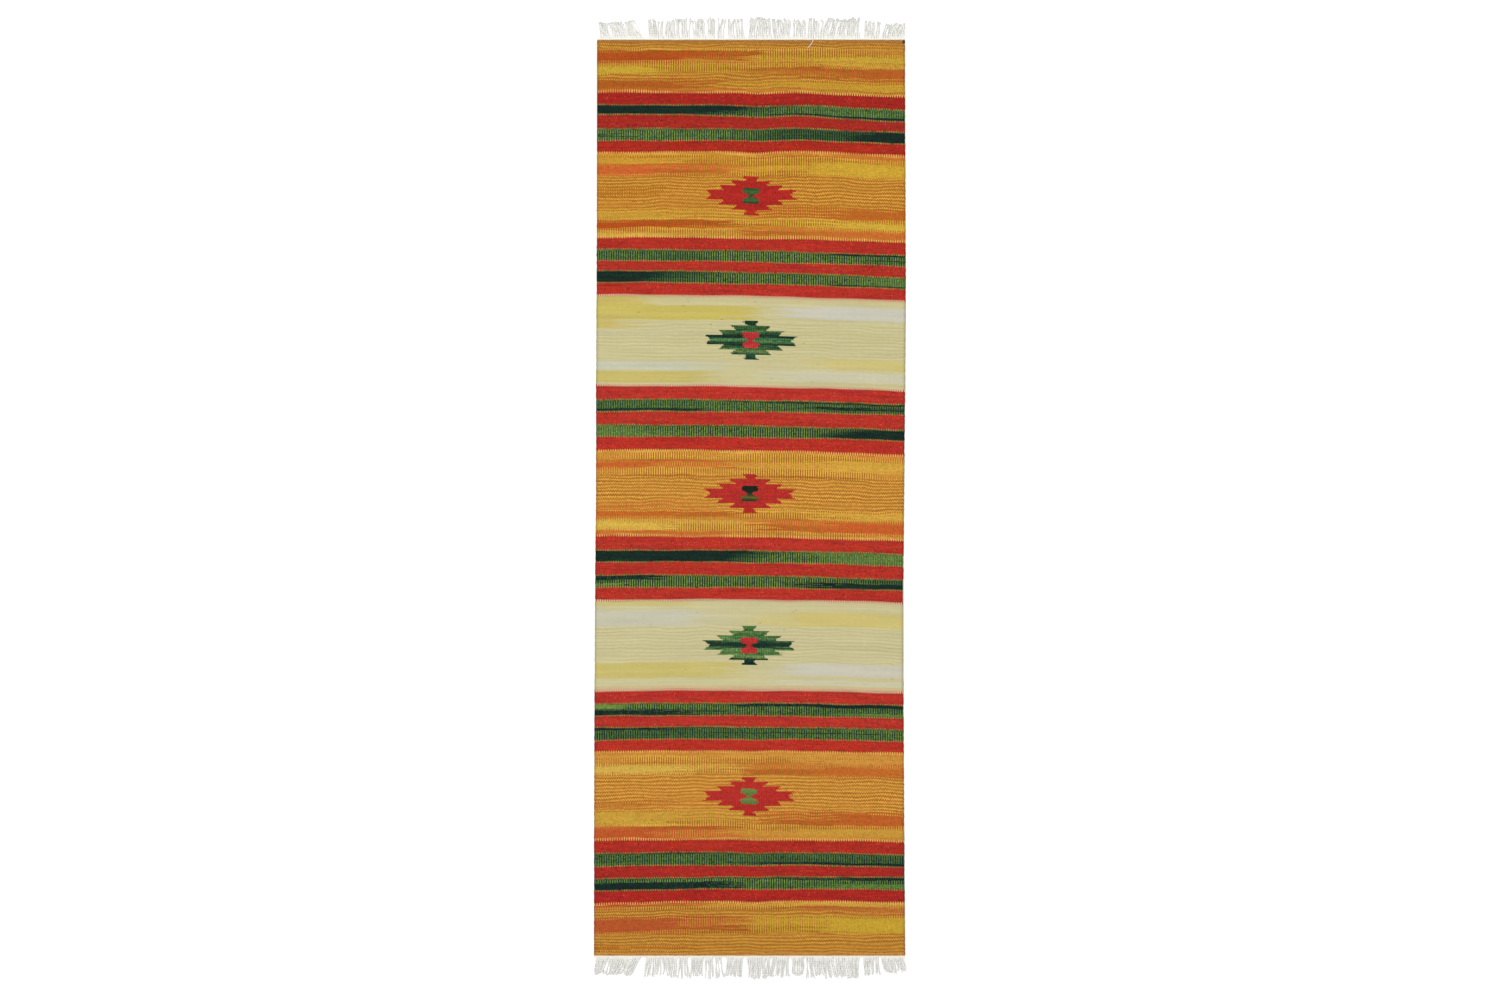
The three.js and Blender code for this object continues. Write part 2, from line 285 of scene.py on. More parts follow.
def make_wool():
    """Yarn beads on ribs: shade between them, fibre streaks, slubs, and a height for the bump."""
    ng, gin, out = new_group("wool_yarn", ["Color", "X", "V", "RibF", "RowF", "Row", "Parity", "Rand2", "Slow", "S", "Cell", "Speck"], ["Color", "Height"])
    t = Tree(ng)
    i = gin.outputs
    rib = t.math("SUBTRACT", 1.0, t.math("POWER", t.math("ABSOLUTE", t.math("SUBTRACT", t.math("MULTIPLY", i["RibF"], 2.0), 1.0)), 2.4))
    bead = t.math("SUBTRACT", 1.0, t.math("POWER", t.math("ABSOLUTE", t.math("SUBTRACT", t.math("MULTIPLY", i["RowF"], 2.0), 1.0)), 2.2))
    both = t.math("POWER", t.math("MAXIMUM", t.math("MULTIPLY", rib, bead), 0.0), 0.5)
    # fibres lie along the yarn, which crosses a rib at a slant
    slant = t.math("ADD", t.math("MULTIPLY", i["V"], 2.6), t.math("MULTIPLY", i["RibF"], t.math("SUBTRACT", t.math("MULTIPLY", i["Parity"], 2.0), 1.0)))
    fibre = t.noise(t.xyz(t.math("MULTIPLY", i["X"], 0.5), slant, i["Parity"]), 1.0, 3.0, 0.65)
    slub = t.noise(t.xyz(t.math("MULTIPLY", i["X"], 0.05), t.math("MULTIPLY", i["Row"], 0.71), i["Parity"]), 1.0, 3.0, 0.6)
    # abrash: each dye lot drifts over a hand's width
    lot = t.noise(t.xyz(t.math("MULTIPLY", i["X"], 0.006), t.math("MULTIPLY", i["V"], 0.05)), 1.0, 2.0, 0.5)
    shade = t.math("ADD", 0.80, t.math("MULTIPLY", both, 0.24))
    shade = t.math("MULTIPLY", shade, t.math("ADD", 0.88, t.math("MULTIPLY", fibre, 0.24)))
    shade = t.math("MULTIPLY", shade, t.math("ADD", 0.84, t.math("MULTIPLY", slub, 0.32)))
    shade = t.math("MULTIPLY", shade, t.math("ADD", 0.94, t.math("MULTIPLY", i["Rand2"], 0.12)))
    shade = t.math("MULTIPLY", shade, t.math("ADD", 0.90, t.math("MULTIPLY", lot, 0.20)))
    # single beads catch more or less light, and a few sit deep and dark
    pair = t.white(t.xyz(t.math("FLOOR", t.math("DIVIDE", i["X"], PITCH)), t.math("FLOOR", t.math("MULTIPLY", i["Row"], 0.5)), 17.0))
    both_tones = t.math("ADD", t.math("MULTIPLY", i["Cell"], 0.6), t.math("MULTIPLY", pair, 0.7))
    bead_tone = t.math("MULTIPLY", t.math("SUBTRACT", both_tones, 0.65), i["Speck"])
    deep = t.math("MULTIPLY", t.step(i["Cell"], 0.02, 0.05, 1.0, 0.0), t.math("MULTIPLY", i["Speck"], 0.9))
    shade = t.math("MULTIPLY", shade, t.math("SUBTRACT", t.math("ADD", 1.0, bead_tone), deep))
    # the weft turns round the selvedge, so the outermost rib is in its own shade
    rim = t.math("ABSOLUTE", t.math("SUBTRACT", t.math("MULTIPLY", i["S"], 2.0), 1.0))
    shade = t.math("MULTIPLY", shade, t.step(rim, 0.980, 0.999, 1.0, 0.72))
    shade = t.math("MULTIPLY", shade, 0.868)
    ng.links.new(t.scale(i["Color"], shade), out.inputs["Color"])
    height = t.math("ADD", both, t.math("MULTIPLY", fibre, 0.35))
    height = t.math("ADD", height, t.math("MULTIPLY", slub, 0.4))
    ng.links.new(height, out.inputs["Height"])
    return ng


COORDS, STREAK, WOOL = make_coords(), make_streak(), make_wool()


def yarn_surface(name, slot_colour, build, speck=0.2, bump=0.9):
    """A wool material. build(tree, coords) returns the yarn's colour."""
    mat = bpy.data.materials.new(name)
    mat.use_nodes = True
    nt = mat.node_tree
    bsdf = nt.nodes["Principled BSDF"]
    t = Tree(nt)
    c = t.group(COORDS)
    colour = build(t, c)
    w = t.group(WOOL, Color=colour, X=c["X"], V=c["V"], RibF=c["RibF"], RowF=c["RowF"], Row=c["Row"], Parity=c["Parity"],
                Rand2=c["Rand2"], Slow=c["Slow"], S=c["S"], Cell=c["Cell"], Speck=speck)
    nt.links.new(w["Color"], bsdf.inputs["Base Color"])
    b = nt.nodes.new("ShaderNodeBump")
    b.inputs["Strength"].default_value = bump
    b.inputs["Distance"].default_value = 0.0005
    nt.links.new(w["Height"], b.inputs["Height"])
    nt.links.new(b.outputs[0], bsdf.inputs["Normal"])
    rough = t.math("ADD", 0.82, t.math("MULTIPLY", c["Rand2"], 0.12))
    nt.links.new(rough, bsdf.inputs["Roughness"])
    bsdf.inputs["Specular IOR Level"].default_value = 0.08
    bsdf.inputs["Sheen Weight"].default_value = 0.015
    bsdf.inputs["Sheen Roughness"].default_value = 0.5
    mat.diffuse_color = lin(slot_colour)
    return mat


def fraction(t, c, i, teeth):
    """0 at a band's top line and 1 at its bottom line, per pick, so that a change of yarn follows a pick."""
    top, low = mean_line(i), mean_line(i + 1)
    row_v = t.math("MULTIPLY", t.math("ADD", t.math("SUBTRACT", c["Row"], t.math("MULTIPLY", c["Parity"], 0.5)), 0.5), PICK)
    f = t.math("DIVIDE", t.math("SUBTRACT", float(top), row_v), float(top - low))
    swing = t.noise(t.xyz(t.math("MULTIPLY", c["S"], 5.0), t.math("MULTIPLY", f, 3.0), 7.0), 1.0, 1.0)
    side = t.math("SUBTRACT", t.math("MULTIPLY", c["Parity"], 2.0), 1.0)
    shift = t.math("MULTIPLY", t.math("MULTIPLY", t.math("SUBTRACT", swing, 0.25), side), teeth / (top - low))
    return t.math("ADD", f, shift)


def lay_streaks(t, c, i, f, colour, streaks, comb=0.24):
    """streaks: (side, from, to, reach, yarn, strength), from and to as shares of the band from its top line."""
    mirrored = t.math("SUBTRACT", 1.0, c["S"])
    soft = 1.5 / (mean_line(i) - mean_line(i + 1))
    for k, (side, a, b, reach, yarn, strength) in enumerate(streaks):
        s = mirrored if side == "R" else c["S"]
        rand = t.math("FRACT", t.math("ADD", c["Rand"], 0.381 * k))
        m = t.group(STREAK, F=f, S=s, Rand=rand, Parity=c["Parity"], From=a, To=b, Soft=soft,
                    Reach=3.0 if side == "A" else reach, Strength=strength, Comb=comb)
        colour = t.mix(m["Mask"], colour, lin(yarn))
    return colour


def dim(c, k):
    return tuple(v * k for v in c)


LIGHT_PICK, DARK_PICK = (230, 180, 76), (154, 84, 20)


def field_colour(i, base, base2, streaks, picks=(), lines=(), teeth=14.0, depth=1.0, comb=0.24, tones=None, strong=1.0, shift=0.24):
    """picks are spans woven pick and pick, in a light yarn and a dark one; lines are spans where they pair up into fine wavy lines."""
    def build(t, c):
        f = fraction(t, c, i, teeth)
        grain = t.noise(t.xyz(t.math("MULTIPLY", c["S"], 3.0), t.math("MULTIPLY", f, 14.0), float(i)), 1.0, 2.0)
        pick = t.math("ADD", t.math("MULTIPLY", grain, 1.6), t.math("MULTIPLY", t.math("SUBTRACT", c["Rand2"], 0.5), 0.5))
        colour = t.mix(t.math("SUBTRACT", pick, 0.3, clamp=True), lin(base), lin(base2))
        light, dark = tones or (dim(LIGHT_PICK, depth), dim(DARK_PICK, depth))
        if lines:
            bend = t.noise(t.xyz(t.math("MULTIPLY", c["X"], 0.009), t.math("MULTIPLY", c["V"], 0.012), float(i)), 1.0, 2.0)
            ph = t.math("ADD", t.math("DIVIDE", c["V"], 8.9), t.math("MULTIPLY", bend, 2.2))
            ph = t.math("FRACT", t.math("ADD", ph, t.math("MULTIPLY", c["Parity"], shift)))
            ph = t.math("ABSOLUTE", t.math("SUBTRACT", ph, 0.5))
            gate = t.noise(t.xyz(t.math("MULTIPLY", c["S"], 5.0), t.math("MULTIPLY", f, 9.0), 4.0), 1.0, 2.0)
            where = t.math("MULTIPLY", t.windows(f, lines, 0.02), t.step(gate, 0.28, 0.62, 0.35 * strong, strong))
            where = t.math("MULTIPLY", where, t.math("ADD", 0.72, t.math("MULTIPLY", c["Cell"], 0.5)))
            colour = t.mix(t.math("MULTIPLY", t.step(ph, 0.05, 0.24, 1.0, 0.0), t.math("MULTIPLY", where, 0.92)), colour, lin(dark))
            colour = t.mix(t.math("MULTIPLY", t.step(ph, 0.28, 0.46), t.math("MULTIPLY", where, 0.80)), colour, lin(light))
        if picks:
            even = t.noise(t.xyz(t.math("MULTIPLY", c["S"], 4.0), t.math("MULTIPLY", f, 12.0), 9.0), 1.0, 1.0)
            where = t.math("MULTIPLY", t.windows(f, picks, 0.008), t.step(even, 0.25, 0.5, 0.25, 1.0))
            rim = t.math("ABSOLUTE", t.math("SUBTRACT", t.math("MULTIPLY", c["S"], 2.0), 1.0))
            where = t.math("MULTIPLY", where, t.step(rim, 0.62, 0.95, 1.0, 0.25))
            colour = t.mix(t.math("MULTIPLY", t.math("MULTIPLY", where, c["Parity"]), 0.85), colour, lin(light))
            colour = t.mix(t.math("MULTIPLY", t.math("MULTIPLY", where, t.math("SUBTRACT", 1.0, c["Parity"])), 0.75), colour, lin(dark))
        colour = lay_streaks(t, c, i, f, colour, streaks, comb)
        if tones is None:
            colour = at_the_lines(t, c, i, f, colour, (238, 186, 96), (142, 72, 26), 2.0, 0.75)
        else:
            colour = at_the_lines(t, c, i, f, colour, (250, 226, 190), (158, 72, 56), 2.6, 1.0)
            colour = t.mix(t.step(c["Cell"], 0.00025, 0.00035, 0.85, 0.0), colour, lin((70, 66, 44)))
        if i == 0:
            end = t.math("MULTIPLY", t.step(c["X"], 801.0, 805.0), t.step(c["V"], 1190.0, 1195.0))
            colour = t.mix(t.math("MULTIPLY", end, 0.9), colour, lin((30, 58, 52)))
        return colour
    return build


GREEN_STOPS = [(0.0, (19, 40, 34)), (0.28, (35, 64, 41)), (0.55, (65, 93, 49)), (0.8, (92, 120, 56)), (1.0, (114, 139, 63))]
NAVY, LIME, LEAF, OLIVE = (20, 42, 36), (113, 140, 64), (92, 126, 57), (92, 100, 46)


def at_the_lines(t, c, i, f, colour, light, dark, reach=2.4, amount=0.85):
    """Where two yarns interlock, a band's own pick runs over every other rib, and the ribs between sit in its shade."""
    share = reach / (mean_line(i) - mean_line(i + 1))
    top = 0.0 if i == 0 else t.step(f, share * 0.8, share * 1.3, 1.0, 0.0)
    low = 0.0 if i == len(BANDS) - 1 else t.step(f, 1 - share * 1.3, 1 - share * 0.8)
    some = t.noise(t.xyz(t.math("MULTIPLY", c["S"], 9.0), t.math("MULTIPLY", f, 2.0), 12.0 + i), 1.0, 1.0)
    near = t.math("MULTIPLY", t.step(some, 0.32, 0.5, 0.45, 1.0), amount)
    even = t.math("SUBTRACT", 1.0, c["Parity"])
    over = t.math("ADD", t.math("MULTIPLY", top, even), t.math("MULTIPLY", low, c["Parity"]))
    between = t.math("ADD", t.math("MULTIPLY", top, c["Parity"]), t.math("MULTIPLY", low, even))
    if light is not None:
        colour = t.mix(t.math("MULTIPLY", near, over), colour, lin(light))
    if dark is not None:
        colour = t.mix(t.math("MULTIPLY", near, between), colour, lin(dark))
    return colour


def green_colour(i, first, lean_first, second, lean_second, streaks):
    """Two dyed yarns, pick and pick. Each goes from dark to light green across the width, as (share of width, tone),
    and leans by a share of the width from the stripe's top line to its bottom line."""
    def build(t, c):
        f = fraction(t, c, i, 3.0)
        mid = t.math("SUBTRACT", f, 0.5)
        jitter = t.math("MULTIPLY", t.math("SUBTRACT", c["Rand"], 0.5), 0.10)
        tones = []
        for stops, lean in ((first, lean_first), (second, lean_second)):
            at = t.math("ADD", t.math("ADD", c["S"], jitter), t.math("MULTIPLY", mid, lean))
            tones.append(t.levels(at, stops))
        tone = t.mix(c["Parity"], tones[1], tones[0])
        drift = t.noise(t.xyz(t.math("MULTIPLY", c["S"], 6.0), t.math("MULTIPLY", c["Row"], 0.43), float(i)), 1.0, 2.0, 0.6)
        n = t.nt.nodes.new("ShaderNodeRGBToBW")
        t.put(n, 0, tone)
        side = t.math("SUBTRACT", t.math("MULTIPLY", c["Parity"], 2.0), 1.0)
        live = t.step(n.outputs[0], 0.04, 0.2)
        level = t.math("ADD", n.outputs[0], t.math("MULTIPLY", t.math("SUBTRACT", drift, 0.5), 0.62))
        level = t.math("ADD", level, t.math("MULTIPLY", t.math("MULTIPLY", side, live), 0.27), clamp=True)
        colour = t.ramp(level, GREEN_STOPS)
        cool = t.white(t.xyz(t.math("FLOOR", t.math("DIVIDE", c["X"], PITCH)), t.math("FLOOR", t.math("MULTIPLY", c["Row"], 0.5)), 23.0 + i))
        colour = t.mix(t.math("MULTIPLY", t.step(cool, 0.45, 0.95), t.math("MULTIPLY", live, 0.55)), colour, lin((64, 100, 66)))
        colour = lay_streaks(t, c, i, f, colour, streaks)
        return at_the_lines(t, c, i, f, colour, (146, 146, 72), (14, 24, 22), 2.2, 0.95)
    return build


def red_colour(i, stops, seed):
    """One madder yarn with slow changes of dye lot and thin lighter picks."""
    def build(t, c):
        s = t.math("ADD", c["S"], t.math("MULTIPLY", t.math("SUBTRACT", c["Rand"], 0.5), 0.16))
        colour = t.ramp(s, stops)
        lot = t.noise(t.xyz(t.math("MULTIPLY", c["S"], 5.0), t.math("MULTIPLY", c["V"], 0.07), seed), 1.0, 2.0)
        colour = t.mix(t.step(lot, 0.42, 0.62, 0.0, 0.55), colour, lin(dim(stops[1][1], 1.07)))
        colour = t.mix(t.step(lot, 0.30, 0.44, 0.5, 0.0), colour, lin((160, 34, 36)))
        hue = t.noise(t.xyz(t.math("MULTIPLY", c["S"], 9.0), t.math("MULTIPLY", c["Row"], 0.31), seed + 40.0), 1.0, 2.0, 0.6)
        r, g, b = stops[1][1]
        colour = t.mix(t.step(hue, 0.44, 0.66, 0.0, 0.75), colour, lin((r * 1.06, g * 0.96, b * 0.70)))
        colour = t.mix(t.step(hue, 0.30, 0.46, 0.75, 0.0), colour, lin((r * 1.0, g * 0.78, b * 1.12)))
        thin = t.noise(t.xyz(t.math("MULTIPLY", c["S"], 11.0), t.math("MULTIPLY", c["Row"], 0.93), seed), 1.0, 2.0, 0.7)
        colour = t.mix(t.step(c["Cell"], 0.978, 0.992, 0.0, 0.30), colour, lin((222, 108, 88)))
        colour = t.scale(colour, t.math("ADD", 0.46, t.math("MULTIPLY", thin, 1.06)))
        f = fraction(t, c, i, 3.0)
        return at_the_lines(t, c, i, f, colour, None, (92, 24, 24), 2.2, 0.8)
    return build


# yarns, as dyed
RUST, DEEP, ORANGE, AMBER, GOLD, YELLOW = (180, 80, 31), (192, 104, 42), (192, 124, 45), (198, 138, 52), (196, 152, 52), (205, 165, 58)
CREAM, STRAW, MUSTARD, PALE, GREY = (203, 194, 144), (203, 188, 113), (198, 181, 96), (200, 196, 168), (203, 200, 184)

FIELD_YARNS = {
    "band_end_a": ((184, 120, 42), (190, 132, 46), [
        ("A", -0.1, 0.06, 3, (172, 118, 52), 0.9),
        ("L", 0.22, 0.41, 0.46, (175, 79, 28), 1.0), ("L", 0.49, 0.635, 0.31, (197, 161, 52), 1.0),
        ("L", 0.76, 0.94, 0.42, (172, 91, 30), 0.85), ("L", 0.94, 1.1, 0.55, (193, 105, 45), 0.9),
        ("R", 0.30, 0.50, 0.38, (198, 160, 54), 0.95), ("R", 0.52, 0.73, 0.33, (181, 94, 35), 0.95),
        ("R", 0.79, 0.93, 0.46, (194, 148, 48), 0.85), ("A", 0.415, 0.47, 3, (190, 118, 50), 0.5)]),
    "band_orange_1": ((192, 128, 45), (198, 136, 48), [
        ("L", 0.05, 0.13, 0.40, (202, 150, 50), 0.85), ("L", 0.15, 0.27, 0.36, (200, 98, 44), 1.0), ("L", 0.42, 0.53, 0.12, (179, 113, 33), 0.7),
        ("L", 0.69, 0.78, 0.40, (199, 152, 54), 0.9), ("L", 0.81, 0.90, 0.36, (177, 78, 26), 1.0), ("L", 0.93, 1.1, 0.36, (206, 162, 66), 0.95),
        ("R", -0.1, 0.08, 0.38, (194, 114, 44), 0.85), ("R", 0.10, 0.27, 0.38, (204, 162, 52), 0.95),
        ("R", 0.64, 0.77, 0.36, (187, 102, 35), 0.95), ("R", 0.785, 0.88, 0.38, (206, 167, 58), 0.95), ("R", 0.89, 0.98, 0.38, (196, 107, 44), 0.95)]),
    "band_cream_1": ((202, 192, 141), (203, 195, 150), [
        ("R", -0.1, 0.045, 0.62, (205, 190, 140), 0.8), ("L", -0.1, 0.14, 0.20, (200, 181, 102), 1.0), ("L", 0.11, 0.27, 0.49, (201, 185, 98), 1.0),
        ("L", 0.20, 0.37, 0.12, (200, 182, 104), 0.95), ("L", 0.73, 0.82, 0.36, (198, 198, 172), 1.0),
        ("L", 0.84, 0.96, 0.36, (199, 184, 108), 0.95), ("A", 0.96, 1.1, 3, (208, 190, 143), 0.8),
        ("R", 0.09, 0.24, 0.36, (202, 199, 182), 1.0), ("R", 0.67, 0.79, 0.30, (207, 193, 125), 0.9), ("R", 0.82, 0.93, 0.42, (205, 199, 170), 0.95),
        ("L", 0.40, 0.43, 0.5, (196, 188, 150), 0.5), ("R", 0.50, 0.53, 0.5, (196, 190, 128), 0.5)]),
    "band_orange_2": ((200, 135, 54), (205, 144, 58), [
        ("L", 0.13, 0.215, 0.30, (196, 99, 42), 1.0), ("L", 0.60, 0.70, 0.22, (197, 118, 48), 0.7), ("L", 0.71, 0.78, 0.33, (196, 104, 38), 1.0),
        ("L", 0.815, 0.915, 0.36, (213, 174, 72), 1.0), ("L", 0.95, 1.1, 0.36, (199, 98, 48), 0.95),
        ("R", -0.1, 0.045, 0.26, (201, 108, 50), 0.9), ("R", 0.08, 0.215, 0.40, (212, 164, 63), 0.95), ("R", 0.69, 0.785, 0.36, (213, 163, 63), 0.95),
        ("R", 0.80, 0.945, 0.36, (200, 96, 42), 1.0), ("R", 0.955, 1.1, 0.40, (208, 152, 66), 0.8)]),
    "band_cream_2": ((203, 194, 146), (204, 196, 151), [
        ("L", -0.1, 0.06, 0.36, (204, 190, 124), 0.8), ("L", 0.11, 0.29, 0.37, (200, 197, 172), 1.0), ("L", 0.69, 0.86, 0.42, (202, 188, 113), 0.95),
        ("A", 0.955, 1.1, 3, (210, 178, 136), 0.8),
        ("R", 0.13, 0.285, 0.42, (208, 192, 120), 1.0), ("R", 0.70, 0.835, 0.37, (205, 200, 180), 1.0), ("R", -0.1, 0.05, 0.30, (210, 190, 146), 0.7),
        ("R", 0.88, 0.94, 0.40, (202, 198, 166), 0.7)]),
    "band_orange_3": ((200, 134, 54), (203, 142, 58), [
        ("L", 0.155, 0.255, 0.42, (213, 173, 76), 1.0), ("L", 0.57, 0.64, 0.22, (184, 110, 42), 0.8), ("L", 0.68, 0.83, 0.36, (199, 155, 58), 0.9),
        ("L", 0.86, 1.1, 0.36, (191, 88, 42), 1.0),
        ("R", 0.07, 0.14, 0.46, (207, 146, 62), 0.8), ("R", 0.165, 0.28, 0.39, (196, 108, 42), 0.95), ("R", 0.69, 0.845, 0.37, (188, 96, 38), 1.0),
        ("R", 0.86, 0.95, 0.42, (201, 152, 58), 0.9)]),
    "band_end_b": ((188, 127, 48), (193, 134, 50), [
        ("L", -0.1, 0.055, 0.36, (182, 72, 42), 1.0), ("L", 0.06, 0.11, 0.30, (184, 102, 42), 0.9), ("L", 0.29, 0.57, 0.36, (181, 86, 41), 1.0),
        ("L", 0.82, 0.90, 0.28, (178, 110, 39), 0.9),
        ("R", -0.1, 0.07, 0.46, (201, 150, 60), 0.9), ("R", 0.12, 0.235, 0.20, (186, 102, 46), 0.9), ("R", 0.30, 0.59, 0.42, (197, 159, 50), 0.95),
        ("A", 0.95, 1.1, 3, (190, 128, 60), 0.7)]),
}

# Spans of a field woven pick and pick, and spans of fine wavy lines, as shares from its top line.
FIELD_WEAVE = {
    "band_end_a": (((0.17, 0.29), (0.41, 0.56)), ((0.0, 0.16), (0.62, 1.0)), 0.94),
    "band_orange_1": (((0.03, 0.14), (0.20, 0.28), (0.78, 0.85), (0.90, 0.99)), ((0.29, 0.78),), 1.0),
    "band_orange_2": (((0.02, 0.12), (0.19, 0.30), (0.70, 0.78), (0.84, 0.98)), ((0.29, 0.72),), 1.0),
    "band_orange_3": (((0.06, 0.14), (0.19, 0.25), (0.76, 0.88)), ((0.26, 0.78),), 1.0),
    "band_end_b": (((0.06, 0.14), (0.42, 0.58)), ((0.60, 1.0), (0.14, 0.3)), 0.94),
}

GREENS = {
    "stripe_1_green_a": ([(0, 0), (0.40, 0.03), (0.56, 0.62), (0.72, 0.66), (1, 0.62)], 0.22,
                         [(0, 0), (0.42, 0), (0.62, 0.25), (0.74, 0.66), (1, 0.6)], -0.10,
                         [("R", 0.74, 1.1, 0.30, NAVY, 0.95), ("L", 0.90, 1.1, 0.28, OLIVE, 0.8)]),
    "stripe_1_green_b": ([(0, 0.75), (0.3, 0.75), (0.48, 0.62), (0.6, 0.3), (0.8, 0.25), (0.9, 0)], 0.08,
                         [(0, 0.6), (0.25, 0.45), (0.42, 0.3), (0.52, 0.04), (1, 0)], -0.05,
                         [("L", 0.45, 0.75, 0.04, NAVY, 0.6)]),
    "stripe_2_green_a": ([(0, 0.62), (0.12, 0.6), (0.3, 0.55), (0.48, 0.82), (0.74, 0.88), (0.86, 0.65), (1, 0.62)], 0.0,
                         [(0, 0.45), (0.1, 0.25), (0.3, 0.10), (0.6, 0.16), (0.8, 0.28), (1, 0.36)], 0.05,
                         [("R", 0.02, 0.25, 0.2, NAVY, 0.7), ("R", 0.5, 0.68, 0.12, NAVY, 0.6)]),
    "stripe_2_green_b": ([(0, 0), (0.15, 0), (0.34, 0.55), (0.45, 0.85), (0.84, 0.88), (1, 0.92)], 0.12,
                         [(0, 0), (0.45, 0.05), (0.78, 0.25), (0.9, 0.8), (1, 0.85)], -0.06,
                         [("R", 0.86, 1.1, 0.12, NAVY, 0.9), ("R", -0.1, 0.12, 0.2, NAVY, 0.7)]),
    "stripe_3_green_a": ([(0, 0.55), (0.5, 0.66), (1, 0.5)], 0.0, [(0, 0.40), (0.5, 0.44), (1, 0.36)], 0.0,
                         [("L", 0.72, 1.1, 0.24, NAVY, 0.9), ("R", -0.1, 0.24, 0.42, NAVY, 0.8), ("R", 0.48, 0.72, 0.18, NAVY, 0.75)]),
    "stripe_3_green_b": ([(0, 1), (0.5, 0.88), (0.72, 0.72), (0.84, 0)], 0.20,
                         [(0, 1), (0.12, 0.9), (0.28, 0.18), (0.6, 0.08), (0.8, 0)], -0.25,
                         [("L", -0.1, 0.08, 0.2, NAVY, 0.7)]),
    "stripe_4_green_a": ([(0, 0), (0.44, 0), (0.58, 0.75), (0.72, 1)], 0.14,
                         [(0, 0), (0.5, 0.03), (0.62, 0.15), (0.70, 0.4), (0.78, 0.95), (1, 1)], -0.12, []),
    "stripe_4_green_b": ([(0, 0.5), (0.12, 0.85), (0.7, 0.85), (0.85, 0.55), (1, 0.3)], 0.0,
                         [(0, 0.3), (0.1, 0.1), (1, 0.08)], 0.0,
                         [("L", -0.1, 0.42, 0.12, NAVY, 0.95), ("L", 0.62, 1.1, 0.13, LIME, 0.95), ("R", 0.52, 1.1, 0.18, NAVY, 0.95)]),
    "stripe_5_green_a": ([(0, 0.5), (0.5, 0.64), (1, 0.54)], 0.0, [(0, 0.2), (0.5, 0.26), (1, 0.26)], 0.0,
                         [("L", -0.1, 0.42, 0.26, LIME, 0.95), ("L", 0.56, 1.1, 0.22, NAVY, 0.9), ("R", -0.1, 0.32, 0.40, NAVY, 0.95),
                          ("R", 0.72, 1.1, 0.32, LEAF, 0.9)]),
    "stripe_5_green_b": ([(0, 0.44), (0.2, 0.40), (0.5, 0.52), (1, 0.7)], 0.0, [(0, 0.24), (0.5, 0.29), (1, 0.5)], 0.0,
                         [("L", -0.1, 0.26, 0.18, NAVY, 0.85), ("R", -0.1, 0.15, 0.4, OLIVE, 0.7), ("R", 0.4, 0.52, 0.5, NAVY, 0.4)]),
    "stripe_6_green_a": ([(0, 0.40), (0.3, 0.58), (0.6, 0.44), (1, 0.38)], 0.0, [(0, 0.26), (0.5, 0.38), (1, 0.22)], 0.0,
                         [("A", -0.1, 0.10, 3, NAVY, 0.6), ("R", 0.72, 0.95, 0.42, NAVY, 0.75), ("L", 0.55, 0.85, 0.26, LEAF, 0.35)]),
    "stripe_6_green_b": ([(0, 0.5), (0.2, 0.72), (0.7, 0.78), (1, 0.5)], 0.0, [(0, 0.4), (0.2, 0.15), (0.6, 0.2), (0.8, 0.35), (1, 0.3)], 0.0,
                         [("L", 0.42, 1.1, 0.34, NAVY, 0.95), ("R", 0.56, 1.1, 0.40, LEAF, 0.85), ("R", -0.1, 0.3, 0.26, NAVY, 0.7)]),
}
REDS = {
    1: ((161, 39, 31), (161, 43, 34), (169, 44, 30)), 2: ((176, 49, 37), (175, 50, 38), (178, 50, 39)),
    3: ((181, 52, 42), (179, 52, 41), (180, 49, 38)), 4: ((180, 53, 41), (176, 50, 39), (178, 51, 40)),
    5: ((179, 51, 42), (178, 52, 42), (181, 50, 37)), 6: ((172, 47, 35), (166, 43, 36), (168, 40, 33)),
}


def band_material(i):
    name = BANDS[i]
    if name in FIELD_YARNS:
        base, base2, streaks = FIELD_YARNS[name]
        picks, lines, depth = FIELD_WEAVE.get(name, ((), (), 1.0))
        if "cream" in name:
            return yarn_surface(name, base, field_colour(i, base, base2, streaks, (), ((0.28, 0.70),), teeth=2.0, comb=0.03,
                                                         tones=((212, 204, 160), (184, 174, 122)), strong=0.6, shift=0.05), 0.05)
        return yarn_surface(name, base, field_colour(i, base, base2, streaks, picks, lines, depth=depth), 0.30)
    if "green" in name:
        return yarn_surface(name, (60, 84, 47), green_colour(i, *GREENS[name]), 0.60)
    g = int(name.split("_")[1])
    r = REDS[g]["abc".index(name[-1])]
    return yarn_surface(name, r, red_colour(i, [(0.02, dim(r, 0.965)), (0.35, r), (0.65, r), (0.98, dim(r, 0.975))], float(i)), 0.40)


